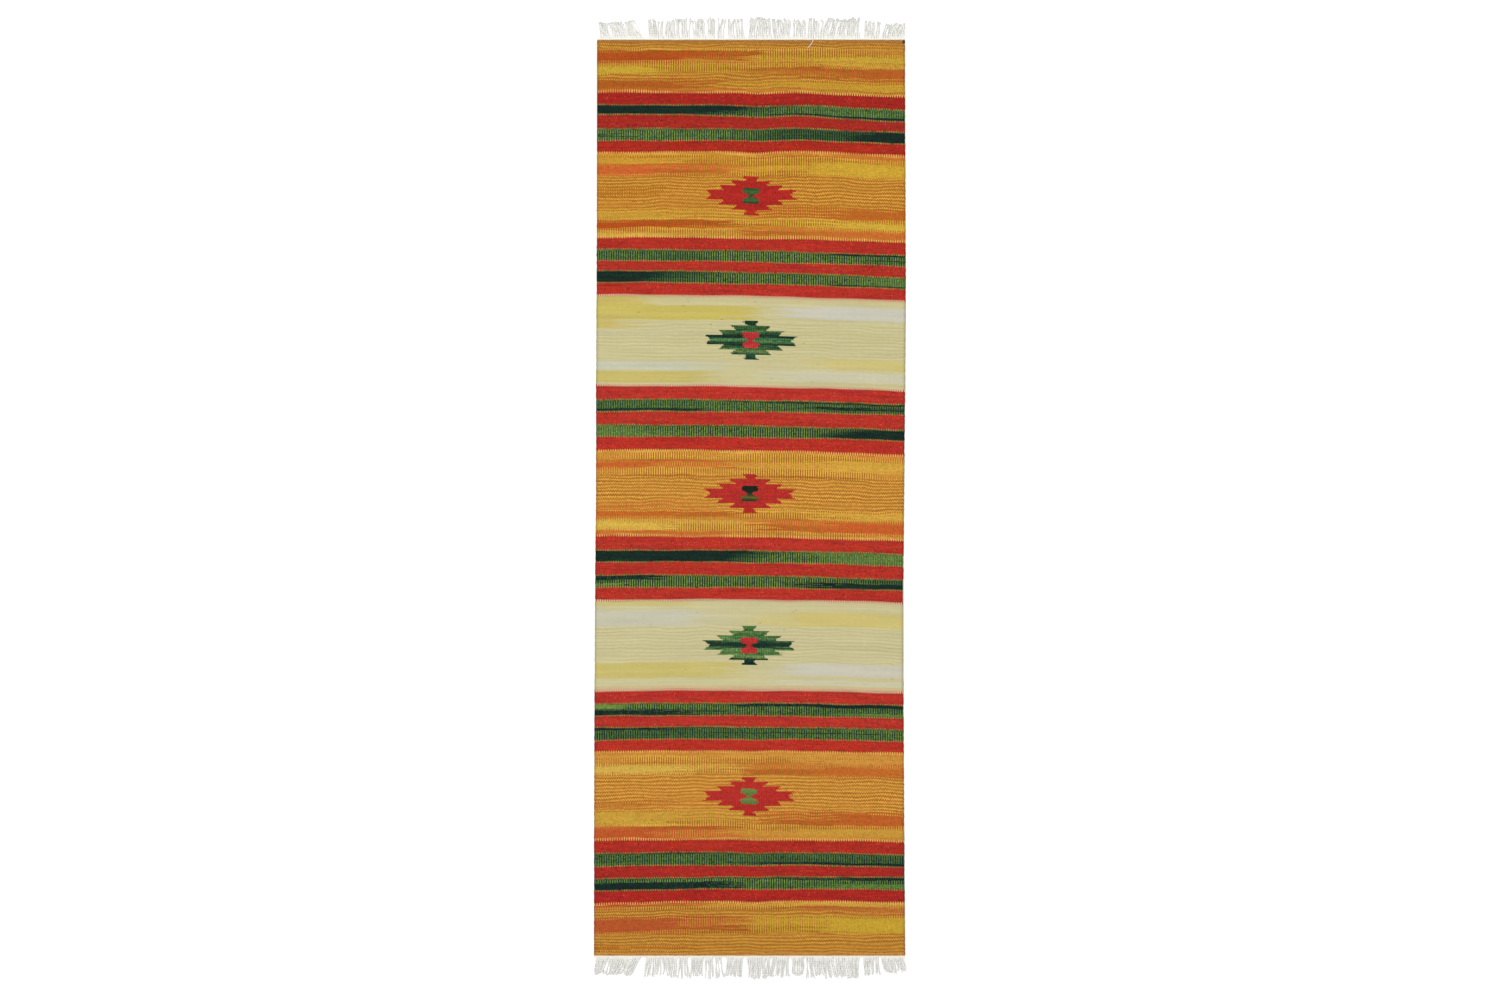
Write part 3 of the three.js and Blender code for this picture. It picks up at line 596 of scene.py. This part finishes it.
def motif_material(name, k, stops, contrast, rows=0.5, speck=0.3):
    """Short picks of one motif. stops run from its top point to its bottom point."""
    def build(t, c):
        v = t.math("MULTIPLY", t.math("SUBTRACT", c["Row"], t.math("MULTIPLY", c["Parity"], 0.5)), PICK)
        at = t.math("SUBTRACT", 0.5, t.math("DIVIDE", t.math("SUBTRACT", v, MEDALLION_Y[k] - BOW / 3), 104.0))
        row = t.noise(t.xyz(t.math("MULTIPLY", c["S"], 8.0), t.math("MULTIPLY", c["Row"], 0.37), float(len(name) + k)), 1.0, 2.0, 0.6)
        at = t.math("ADD", at, t.math("MULTIPLY", t.math("SUBTRACT", row, 0.5), 0.26 * rows))
        colour = t.ramp(at, stops)
        side = t.math("SUBTRACT", t.math("MULTIPLY", c["Parity"], 2.0), 1.0)
        tone = t.math("ADD", 1.0, t.math("MULTIPLY", side, contrast))
        tone = t.math("MULTIPLY", tone, t.math("ADD", 1.0 - 0.5 * rows, t.math("MULTIPLY", row, rows)))
        return t.scale(colour, tone)
    return yarn_surface(name, stops[0][1], build, speck)


def cotton(name, tint, dark, ply):
    """Undyed cotton: plied strands with shade between the plies."""
    mat = bpy.data.materials.new(name)
    mat.use_nodes = True
    nt = mat.node_tree
    bsdf = nt.nodes["Principled BSDF"]
    t = Tree(nt)
    uv = nt.nodes.new("ShaderNodeUVMap")
    uv.uv_map = "weave"
    sep = nt.nodes.new("ShaderNodeSeparateXYZ")
    nt.links.new(uv.outputs[0], sep.inputs[0])
    along, who = sep.outputs[0], sep.outputs[1]
    turn = t.math("FRACT", t.math("ADD", t.math("DIVIDE", along, ply), who))
    twist = t.math("ABSOLUTE", t.math("SUBTRACT", t.math("MULTIPLY", turn, 2.0), 1.0))
    strand = t.white(t.xyz(t.math("FLOOR", who), 1.0, 2.0))
    fuzz = t.noise(t.xyz(t.math("MULTIPLY", along, 0.9), t.math("MULTIPLY", who, 3.0)), 1.0, 3.0, 0.6)
    m = t.math("ADD", t.math("MULTIPLY", twist, 0.55), t.math("MULTIPLY", fuzz, 0.5), clamp=True)
    colour = t.mix(m, lin(dark), lin(tint))
    colour = t.scale(colour, t.math("ADD", 0.86, t.math("MULTIPLY", strand, 0.16)))
    nt.links.new(colour, bsdf.inputs["Base Color"])
    b = nt.nodes.new("ShaderNodeBump")
    b.inputs["Strength"].default_value = 0.8
    b.inputs["Distance"].default_value = 0.0004
    nt.links.new(t.math("ADD", twist, t.math("MULTIPLY", fuzz, 0.4)), b.inputs["Height"])
    nt.links.new(b.outputs[0], bsdf.inputs["Normal"])
    nt.links.new(t.math("ADD", 0.84, t.math("MULTIPLY", fuzz, 0.12)), bsdf.inputs["Roughness"])
    bsdf.inputs["Specular IOR Level"].default_value = 0.25
    mat.diffuse_color = lin(tint)
    return mat


# ---------------------------------------------------------------- meshes
def mesh_object(name, verts, corners, counts, uv, mat, smooth_angle=50):
    me = bpy.data.meshes.new(name)
    verts = np.asarray(verts, np.float32)
    corners, counts = np.asarray(corners, np.int32), np.asarray(counts, np.int32)
    starts = np.concatenate(([0], np.cumsum(counts)[:-1])).astype(np.int32)
    me.vertices.add(len(verts))
    me.vertices.foreach_set("co", verts.ravel())
    me.loops.add(len(corners))
    me.loops.foreach_set("vertex_index", corners)
    me.polygons.add(len(counts))
    me.polygons.foreach_set("loop_start", starts)
    me.polygons.foreach_set("loop_total", counts)
    me.polygons.foreach_set("use_smooth", np.ones(len(counts), bool))
    me.update(calc_edges=True)
    layer = me.uv_layers.new(name="weave")
    layer.uv.foreach_set("vector", np.asarray(uv, np.float32)[corners].ravel())
    me.validate()
    if smooth_angle:
        me.set_sharp_from_angle(angle=math.radians(smooth_angle))
    me.materials.append(mat)
    o = bpy.data.objects.new(name, me)
    bpy.context.scene.collection.objects.link(o)
    return o


def relief(u_half):
    """Height of the top face across the ribs: u_half counts half ribs."""
    return np.where(u_half % 2 == 1, THICK + 0.05, THICK - 0.45)


def woven(name, i, rows, mask, mat, teeth=2.9):
    """A woven area of band i. rows are its row lines as shares of the band, from the top; mask says which cells (row, rib) it has."""
    n, ribs = mask.shape
    rows = np.asarray(rows, float)
    top_u = np.arange(2 * ribs + 1)
    u = top_u / RIBS - 1  # -1..1 in half ribs
    tl, bl = line_y(i, u), line_y(i + 1, u)
    # the wefts of two areas interlock: every other rib carries the line a little further
    tooth = np.where(top_u % 2 == 1, np.where((top_u // 2) % 2 == 0, teeth, -teeth), 0.0)
    fade_t = np.clip(1 - rows * (mean_line(i) - mean_line(i + 1)) / 9.0, 0, 1)[:, None]
    fade_b = np.clip(1 - (1 - rows) * (mean_line(i) - mean_line(i + 1)) / 9.0, 0, 1)[:, None]
    if i == 0:
        fade_t = fade_t * 0
    if i == len(BANDS) - 1:
        fade_b = fade_b * 0
    y = tl[None, :] * (1 - rows[:, None]) + bl[None, :] * rows[:, None] + tooth[None, :] * (fade_t + fade_b)
    x = edge_x(u[None, :] * np.ones_like(y), y)
    # each pick bulges where it turns at the edge
    v_line = mean_line(i) * (1 - rows) + mean_line(i + 1) * rows
    bulge = 0.3 * np.sin(v_line * 0.83) + 0.3 * np.sin(v_line * 0.31 + 1.0) + 0.5 * (scatter(np.round(v_line * 3)) - 0.5)
    for side, cols in ((-1, (0, 1, 2, 3)), (1, (2 * ribs, 2 * ribs - 1, 2 * ribs - 2, 2 * ribs - 3))):
        for k, col in enumerate(cols):
            x[:, col] += side * bulge * (1, 0.8, 0.5, 0.25)[k]
    z = np.broadcast_to(relief(top_u), y.shape).copy()
    z[:, 0] = z[:, -1] = THICK - 1.0
    z[:, 1] -= 0.25
    z[:, -2] -= 0.25
    z += 0.10 * np.sin(x * 0.021 + y * 0.013) * np.sin(y * 0.017 + 1.3) - 0.08
    top_id = np.full(y.shape, -1)
    low_id = np.full((n + 1, ribs + 1), -1)
    cell = np.zeros((n + 2, ribs + 2), bool)
    cell[1:-1, 1:-1] = mask
    corner = cell[:-1, :-1] | cell[:-1, 1:] | cell[1:, :-1] | cell[1:, 1:]
    use = np.zeros(y.shape, bool)
    use[:, ::2] = corner
    use[:, 1::2] = (cell[:-1, 1:-1] | cell[1:, 1:-1])
    k = int(use.sum())
    top_id[use] = np.arange(k)
    low_id[corner] = k + np.arange(int(corner.sum()))
    yl, xl = y[:, ::2], x[:, ::2]
    zl = np.zeros_like(yl)
    zl[:, 0] = zl[:, -1] = 0.75
    verts = np.concatenate([
        np.stack([x[use], y[use], z[use]], 1), np.stack([xl[corner], yl[corner], zl[corner]], 1)])
    vv = np.broadcast_to(v_line[:, None], y.shape)
    uu = np.broadcast_to(top_u[None, :] / 2, y.shape)
    uv = np.concatenate([np.stack([uu[use], vv[use]], 1), np.stack([uu[:, ::2][corner], vv[:, ::2][corner]], 1)])
    r, c = np.nonzero(mask)
    quads = [
        np.stack([top_id[r + 1, 2 * c], top_id[r + 1, 2 * c + 1], top_id[r, 2 * c + 1], top_id[r, 2 * c]], 1),
        np.stack([top_id[r + 1, 2 * c + 1], top_id[r + 1, 2 * c + 2], top_id[r, 2 * c + 2], top_id[r, 2 * c + 1]], 1),
        np.stack([low_id[r + 1, c], low_id[r, c], low_id[r, c + 1], low_id[r + 1, c + 1]], 1),
    ]
    inner = cell[1:-1, 1:-1]
    r, c = np.nonzero(inner & ~cell[1:-1, :-2])  # open to the left
    quads.append(np.stack([top_id[r, 2 * c], low_id[r, c], low_id[r + 1, c], top_id[r + 1, 2 * c]], 1))
    r, c = np.nonzero(inner & ~cell[1:-1, 2:])
    quads.append(np.stack([top_id[r + 1, 2 * c + 2], low_id[r + 1, c + 1], low_id[r, c + 1], top_id[r, 2 * c + 2]], 1))
    quads = np.concatenate(quads)
    pents = []
    r, c = np.nonzero(inner & ~cell[:-2, 1:-1])  # open to the top line
    pents.append(np.stack([top_id[r, 2 * c], top_id[r, 2 * c + 1], top_id[r, 2 * c + 2], low_id[r, c + 1], low_id[r, c]], 1))
    r, c = np.nonzero(inner & ~cell[2:, 1:-1])
    pents.append(np.stack([top_id[r + 1, 2 * c + 2], top_id[r + 1, 2 * c + 1], top_id[r + 1, 2 * c], low_id[r + 1, c], low_id[r + 1, c + 1]], 1))
    pents = np.concatenate(pents)
    corners = np.concatenate([quads.ravel(), pents.ravel()])
    counts = np.concatenate([np.full(len(quads), 4), np.full(len(pents), 5)])
    return mesh_object(name, verts * MM, corners, counts, uv, mat)


def row_lines(i):
    """Row lines of band i as shares from its top line, finer where cloth folds and where a medallion is woven in."""
    top, low = mean_line(i), mean_line(i + 1)
    y, out = top, [top]
    k = FIELDS.get(BANDS[i])
    if k is not None:
        # u = 0 lies above the mean by a third of the bow
        c = MEDALLION_Y[k] - BOW / 3
        rows = c + MOTIF_ROW * np.arange(MOTIF_HALF, -MOTIF_HALF - 1, -1)
        a = np.linspace(top, rows[0], max(2, int(round((top - rows[0]) / 8.0)) + 1))
        b = np.linspace(rows[-1], low, max(2, int(round((rows[-1] - low) / 8.0)) + 1))
        out = np.concatenate([a[:-1], rows, b[1:]])
        return (top - out) / (top - low), len(a) - 1
    while y > low + 1e-6:
        near = min(abs(y - FOLD_A) / 17, abs(y - FOLD_B) / 9)
        y -= 1.4 if near < 1 else 3.5 if near < 1.4 else 7.5
        out.append(y)
    out = np.array(out)
    out[-1] = low
    if len(out) > 2 and out[-2] - low < 0.6:
        out = np.delete(out, -2)
    return (top - out) / (top - low), None


MOTIF_ROW, MOTIF_HALF = 2.55, 20
HALF_RIBS = [34, 35, 36, 37, 38, 23, 24, 25, 26, 27, 13, 14, 15, 16, 17, 4, 4, 5, 6, 6]  # from the middle outwards
MARK_RIBS = [2, 3, 5, 7, 7, 7, 7, 6]


def motif_masks(rows, first, seed):
    """A weaver counts ribs by eye, so a turn is a rib short or long here and there."""
    medallion, mark = np.zeros((rows, RIBS), bool), np.zeros((rows, RIBS), bool)
    mid = RIBS // 2
    for shape, ribs, many in ((medallion, HALF_RIBS, 0.4), (mark, MARK_RIBS, 0.25)):
        for k, h in enumerate(ribs):
            for r in (first + MOTIF_HALF - 1 - k, first + MOTIF_HALF + k):
                off = [0, 0]
                for side in (0, 1):
                    chance = float(scatter(seed * 97 + r * 3.1 + side * 41.3 + len(ribs)))
                    off[side] = -1 if chance < many / 2 else 1 if chance > 1 - many / 2 else 0
                shape[r, mid - h - off[0]:mid + h + off[1]] = True
    return medallion & ~mark, mark


RED_1 = [(0.0, (178, 44, 33)), (0.3, (172, 38, 32)), (0.5, (178, 42, 36)), (0.75, (168, 38, 32)), (1.0, (182, 42, 32))]
RED_3 = [(0.0, (176, 44, 40)), (0.3, (182, 48, 40)), (0.6, (180, 46, 40)), (1.0, (172, 42, 36))]
MEDALLION_YARNS = [
    RED_1,
    [(0.02, (22, 52, 38)), (0.11, (20, 56, 36)), (0.16, (66, 100, 54)), (0.24, (28, 66, 42)), (0.30, (84, 120, 66)), (0.37, (22, 48, 38)),
     (0.44, (24, 56, 42)), (0.52, (86, 130, 76)), (0.58, (28, 60, 42)), (0.64, (20, 44, 38)), (0.72, (62, 98, 56)), (0.80, (104, 128, 72)),
     (0.87, (40, 76, 52)), (0.95, (20, 62, 52))],
    RED_3,
    [(0.02, (84, 122, 58)), (0.12, (60, 92, 50)), (0.18, (96, 134, 70)), (0.27, (34, 70, 44)), (0.34, (98, 136, 76)), (0.42, (26, 56, 42)),
     (0.54, (22, 50, 40)), (0.62, (100, 138, 78)), (0.71, (66, 104, 58)), (0.80, (110, 136, 76)), (0.87, (24, 58, 40)), (0.96, (18, 40, 36))],
    RED_3,
]
MARK_YARNS = [
    [(0.32, (40, 74, 42)), (0.42, (66, 98, 50)), (0.5, (40, 62, 38)), (0.6, (72, 102, 56)), (0.68, (40, 66, 40))],
    [(0.32, (188, 50, 54)), (0.5, (176, 42, 46)), (0.68, (196, 58, 58))],
    [(0.32, (22, 34, 28)), (0.46, (26, 38, 30)), (0.54, (52, 60, 34)), (0.6, (104, 100, 44)), (0.68, (46, 56, 34))],
    [(0.32, (190, 48, 46)), (0.5, (170, 46, 44)), (0.68, (192, 52, 48))],
    [(0.32, (110, 134, 68)), (0.46, (96, 118, 60)), (0.6, (112, 128, 66)), (0.68, (92, 116, 58))],
]

made = {}
for i, name in enumerate(BANDS):
    rows, first = row_lines(i)
    mask = np.ones((len(rows) - 1, RIBS), bool)
    extra = []
    if first is not None:
        k = FIELDS[name]
        medallion, mark = motif_masks(len(rows) - 1, first, k)
        mask &= ~(medallion | mark)
        for piece, m, yarns in (("medallion", medallion, MEDALLION_YARNS[k]), ("mark", mark, MARK_YARNS[k])):
            n = f"{piece}_{k + 1}"
            o = woven(f"woven_{n}", i, rows, m, motif_material(n, k, yarns, *((0.16, 1.0, 0.8) if piece == "medallion" and k in (1, 3) else (0.05, 0.4, 0.4))))
            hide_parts(n)
            extra.append(o)
            made[n] = o
    o = woven(f"woven_{name}", i, rows, mask, band_material(i))
    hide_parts(name)
    made[name] = o
    body = body_of_band(i)
    for e in extra:
        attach(e, body)
    if i in (7, 8):
        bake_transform(o)
    elif i in (28, 29):
        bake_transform(o)
    else:
        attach(o, body)
    made[name + ":extra"] = extra


# ---------------------------------------------------------------- strands: end cords and fringes
def tubes(paths, radii, sides):
    """Closed tubes along polylines. Returns vertices, corners, counts and the map: length along, and strand number plus turn."""
    V, C, N, U = [], [], [], []
    base = 0
    for k, (p, rad) in enumerate(zip(paths, radii)):
        p = np.asarray(p, float)
        m = len(p)
        d = np.gradient(p, axis=0)
        d /= np.linalg.norm(d, axis=1)[:, None]
        up = np.tile([0.0, 0.0, 1.0], (m, 1))
        side = np.cross(d, up)
        side /= np.linalg.norm(side, axis=1)[:, None]
        nor = np.cross(side, d)
        length = np.concatenate(([0], np.cumsum(np.linalg.norm(np.diff(p, axis=0), axis=1))))
        a = np.arange(sides) / sides * 2 * math.pi
        ring = p[:, None, :] + rad[:, None, None] * (np.cos(a)[None, :, None] * side[:, None, :] + np.sin(a)[None, :, None] * nor[:, None, :])
        V.append(ring.reshape(-1, 3))
        uu = np.repeat(length, sides)
        vv = k + np.tile(0.9 * np.abs(np.arange(sides) / sides * 2 - 1), m)
        U.append(np.stack([uu, vv], 1))
        i0 = base + (np.arange(m - 1) * sides)[:, None]
        j = np.arange(sides)[None, :]
        q = np.stack([i0 + j, i0 + sides + j, i0 + sides + (j + 1) % sides, i0 + (j + 1) % sides], 2).reshape(-1, 4)
        q = q[:, ::-1]
        C.append(q.ravel())
        N.append(np.full(len(q), 4))
        C.append(base + np.arange(sides))
        C.append((base + (m - 1) * sides + np.arange(sides))[::-1])
        N.append(np.array([sides, sides]))
        base += m * sides
    return np.concatenate(V), np.concatenate(C), np.concatenate(N), np.concatenate(U)


def end_cord(sign, seed):
    """Two strands twined round each other along the cloth's end."""
    y0 = HALF_L + 2.65
    left, right = np.interp(sign * HALF_L, EDGE[:, 0], EDGE[:, 1]), np.interp(sign * HALF_L, EDGE[:, 0], EDGE[:, 2])
    x = np.arange(left + 0.5, right - 0.3, 1.15)
    paths, radii = [], []
    for k in range(2):
        ph = x / 7.4 * 2 * math.pi + k * math.pi + seed + 0.5 * np.sin(x * 0.05)
        y = sign * (y0 + 0.25 * np.sin(x * 0.11 + seed)) + 1.15 * np.cos(ph)
        z = 1.5 + 0.55 * np.sin(ph)
        paths.append(np.stack([x, y, z], 1))
        radii.append(np.full(len(x), 0.95) + 0.06 * np.sin(x * 1.7 + seed))
    return tubes(paths, radii, 7)


# Tassels from left to right at the +Y end, in mm: where each leaves the cord, where its tip lies, and how far it reaches.
TASSELS = [
    (-396, -382, -402, -390, 49), (-384, -364, -397, -376, 47), (-362, -340, -372, -350, 49), (-340, -320, -360, -336, 49), (-320, -300, -340, -320, 49),
    (-301, -279, -324, -304, 51), (-267, -246, -270, -246, 55), (-246, -228, -242, -226, 50), (-226, -202, -222, -194, 52), (-201, -184, -204, -188, 56),
    (-181, -158, -186, -154, 59), (-149, -116, -151, -120, 55), (-113, -93, -114, -88, 59.5), (-88, -70, -86, -60, 60), (-57, -40, -62, -44, 56),
    (-39, -14, -40, -20, 56), (-7, 17, -1, 24, 60.5), (18, 57, 18, 54, 59), (60, 73, 57, 64, 57), (74, 105, 66, 108, 56),
    (111, 144, 115, 144, 53), (147, 166, 152, 172, 58.5), (167, 192, 170, 200, 54), (192, 218, 200, 236, 59), (222, 249, 235, 250, 56),
    (249, 288, 255, 285, 59), (297, 319, 301, 323, 51), (319, 338, 323, 343, 49), (342, 367, 352, 376, 45), (366, 387, 378, 398, 44), (387, 404, 396, 410, 43),
]


def fringe(sign, seed):
    """Cotton warp ends in loose tassels of soft bundles: close together where they leave the cord, frayed at the tips."""
    rng = np.random.RandomState(seed)
    paths, radii = [], []
    top = EDGE[-1, 1:]
    here = np.array([np.interp(sign * HALF_L, EDGE[:, 0], EDGE[:, 1]), np.interp(sign * HALF_L, EDGE[:, 0], EDGE[:, 2])])
    for r0, r1, t0, t1, reach in TASSELS:
        r0, r1, t0, t1 = (here[0] + (v - top[0]) / (top[1] - top[0]) * (here[1] - here[0]) for v in (r0, r1, t0, t1))
        width = r1 - r0
        bundles = max(2, int(round(width / 5.6)))
        each = 6 if sign > 0 else 5
        for b in range(bundles):
            q = (b + 0.5) / bundles
            root, tip = r0 + q * width, t0 + q * (t1 - t0) + rng.normal(0, 1.3)
            wave, wave_ph = rng.uniform(0.5, 1.9) * rng.choice((-1, 1)), rng.uniform(0, 6.28)
            hook = rng.choice((-1, 1)) * rng.uniform(1.5, 5.0) if rng.rand() < 0.45 else 0.0
            ln0 = reach - 3.0 + rng.uniform(-3.5, 2.0) + (1.5 if sign < 0 else 0.0)
            turn, phase = rng.uniform(3.0, 7.0) * rng.choice((-1, 1)), rng.uniform(0, 6.28)
            for k in range(each):
                t = np.concatenate((np.linspace(0, 0.12, 6)[:-1], np.linspace(0.12, 1, 11)))
                ease = t ** 1.1
                a = phase + turn * t + 2 * math.pi * k / each
                # side by side at the cord, then turned loosely round each other
                flat = (k + 0.5) / each - 0.5
                loose = np.clip((t - 0.06) / 0.3, 0, 1)
                spread = 1.9 + 0.5 * t + 2.6 * np.clip(t - 0.8, 0, 1) / 0.2 * rng.uniform(0.0, 0.6)
                off = (1 - loose) * flat * 5.4 + loose * (0.55 * spread * np.cos(a) + flat * spread * 1.25)
                px = root + (tip - root) * ease + off + wave * np.sin(t * 5.2 + wave_ph) * t
                px = px + rng.normal(0, 0.9) * t ** 2 + hook * (np.clip(t - 0.74, 0, 1) / 0.26) ** 1.5
                py = HALF_L + 3.0 + min(ln0 + rng.uniform(-3.0, 1.5), 60.5) * t
                r = rng.uniform(0.66, 0.86) * np.interp(t, [0, 0.1, 0.8, 1], [1, 1, 0.95, 0.55])
                pz = 1.5 + (0.42 * np.sin(a) - 0.06) * np.clip((t - 0.12) * 4, 0, 1)
                pz = np.clip(pz, r + 0.12, 2.72 - r)
                paths.append(np.stack([px, sign * py, pz], 1))
                radii.append(r)
    if sign > 0:
        # one strand lies back over the cloth
        t = np.linspace(0, 1, 16)
        px = 167 + 3.0 * np.sin(t * 2.6) - 18 * t ** 1.3
        py = HALF_L + 3.6 + 1.2 * np.sin(np.minimum(t * 12, math.pi)) - 28 * np.maximum(t - 0.12, 0)
        pz = 1.6 + 2.3 * np.minimum(t / 0.2, 1)
        paths.append(np.stack([px, py, pz], 1))
        radii.append(np.interp(t, [0, 0.9, 1], [0.75, 0.7, 0.45]))
    return tubes(paths, radii, 5)


CORD_COTTON = cotton("cotton_cord", (252, 248, 232), (222, 212, 186), 3.2)
FRINGE_COTTON = cotton("cotton_fringe", (250, 249, 243), (203, 201, 195), 4.6)

for side, sign, flap in (("a", 1, "flap_a"), ("b", -1, "flap_b")):
    v, c, n, uv = end_cord(sign, 1.0 if sign > 0 else 4.0)
    cord = mesh_object(f"twined_end_cord_{side}", v * MM, c, n, uv, CORD_COTTON, None)
    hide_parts(f"end_cord_{side}")
    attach(cord, flap)
    v, c, n, uv = fringe(sign, 11 if sign > 0 else 29)
    tassels = mesh_object(f"fringe_strands_{side}", v * MM, c, n, uv, FRINGE_COTTON, None)
    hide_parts(f"fringe_{side}")
    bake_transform(tassels)
    made[f"end_cord_{side}"], made[f"fringe_{side}"] = cord, tassels

# ---------------------------------------------------------------- CAD nodes that stay: warps and selvedge cords, inside the cloth
def warp_material():
    mat = bpy.data.materials.new("cotton_warp")
    mat.use_nodes = True
    nt = mat.node_tree
    bsdf = nt.nodes["Principled BSDF"]
    t = Tree(nt)
    co = nt.nodes.new("ShaderNodeTexCoord")
    sep = nt.nodes.new("ShaderNodeSeparateXYZ")
    nt.links.new(co.outputs["Object"], sep.inputs[0])
    rib = t.math("FRACT", t.math("MULTIPLY", sep.outputs[0], 1000 / PITCH))
    ridge = t.math("SUBTRACT", 1.0, t.math("ABSOLUTE", t.math("SUBTRACT", t.math("MULTIPLY", rib, 2.0), 1.0)))
    ply = t.math("FRACT", t.math("ADD", t.math("MULTIPLY", sep.outputs[1], 260.0), rib))
    fuzz = t.noise(t.xyz(t.math("MULTIPLY", sep.outputs[0], 900.0), t.math("MULTIPLY", sep.outputs[1], 120.0)), 1.0, 3.0)
    # painted shade: the warp goes from grey in the valleys between ribs and along each ply's turn to light cotton on
    # the ridges, with a little random fuzz tone on top
    m = t.math("ADD", t.math("MULTIPLY", ridge, 0.6), t.math("MULTIPLY", t.math("ADD", ply, fuzz), 0.25), clamp=True)
    nt.links.new(t.mix(m, lin((150, 142, 126)), lin((226, 220, 206))), bsdf.inputs["Base Color"])
    b = nt.nodes.new("ShaderNodeBump")
    b.inputs["Strength"].default_value = 0.7
    b.inputs["Distance"].default_value = 0.0004
    nt.links.new(ridge, b.inputs["Height"])
    nt.links.new(b.outputs[0], bsdf.inputs["Normal"])
    nt.links.new(t.math("ADD", 0.82, t.math("MULTIPLY", fuzz, 0.12)), bsdf.inputs["Roughness"])
    bsdf.inputs["Specular IOR Level"].default_value = 0.25
    return mat


WARP = warp_material()
for n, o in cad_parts.items():
    if n.startswith("warp_") or n.startswith("selvedge_"):
        o.data.materials.clear()
        o.data.materials.append(WARP)

# ---------------------------------------------------------------- each band's motifs, and at the ends its cord and fringe, gathered into a list that nothing uses
for i, name in enumerate(BANDS):
    going = list(made[name + ":extra"])
    if i == 0:
        going += [made["end_cord_a"], made["fringe_a"]]
    if i == len(BANDS) - 1:
        going += [made["end_cord_b"], made["fringe_b"]]

# ---------------------------------------------------------------- camera, floor and light
cam_data = bpy.data.cameras.new("camera")
cam_data.sensor_width = 36.0
cam_data.lens = 135.0
cam = bpy.data.objects.new("camera", cam_data)
bpy.context.scene.collection.objects.link(cam)
FRAME_WIDTH = 1500 * 2.623 * MM
cam.location = (0.0, -0.0059, FRAME_WIDTH * cam_data.lens / cam_data.sensor_width)
cam.rotation_euler = (0, 0, 0)
cam_data.clip_start, cam_data.clip_end = 0.1, 200
bpy.context.scene.camera = cam

floor_mesh = bpy.data.meshes.new("floor")
R, SEG = 30.0, 96
ring = [(R * math.cos(2 * math.pi * k / SEG), R * math.sin(2 * math.pi * k / SEG), -0.0004) for k in range(SEG)]
floor_mesh.from_pydata(ring, [], [list(range(SEG))])
floor = bpy.data.objects.new("floor", floor_mesh)
bpy.context.scene.collection.objects.link(floor)
fm = bpy.data.materials.new("floor_paint")
fm.use_nodes = True
fm.node_tree.nodes["Principled BSDF"].inputs["Base Color"].default_value = (0.93, 0.93, 0.93, 1)
fm.node_tree.nodes["Principled BSDF"].inputs["Roughness"].default_value = 0.9
fm.node_tree.nodes["Principled BSDF"].inputs["Specular IOR Level"].default_value = 0.1
floor_mesh.materials.append(fm)

world = bpy.data.worlds.new("studio")
bpy.context.scene.world = world
world.use_nodes = True
world.node_tree.nodes["Background"].inputs[0].default_value = (1, 1, 1, 1)
world.node_tree.nodes["Background"].inputs[1].default_value = 0.85


def area(name, location, size, watts):
    d = bpy.data.lights.new(name, "AREA")
    d.shape, d.size, d.energy = "DISK", size, watts
    o = bpy.data.objects.new(name, d)
    o.location = location
    o.rotation_euler = Vector([-v for v in location]).to_track_quat("-Z", "Y").to_euler()
    bpy.context.scene.collection.objects.link(o)


area("key", (-8.0, 7.5, 15.0), 7.5, 2062)
bpy.context.scene.view_settings.view_transform = "Standard"
bpy.context.scene.view_settings.look = "None"
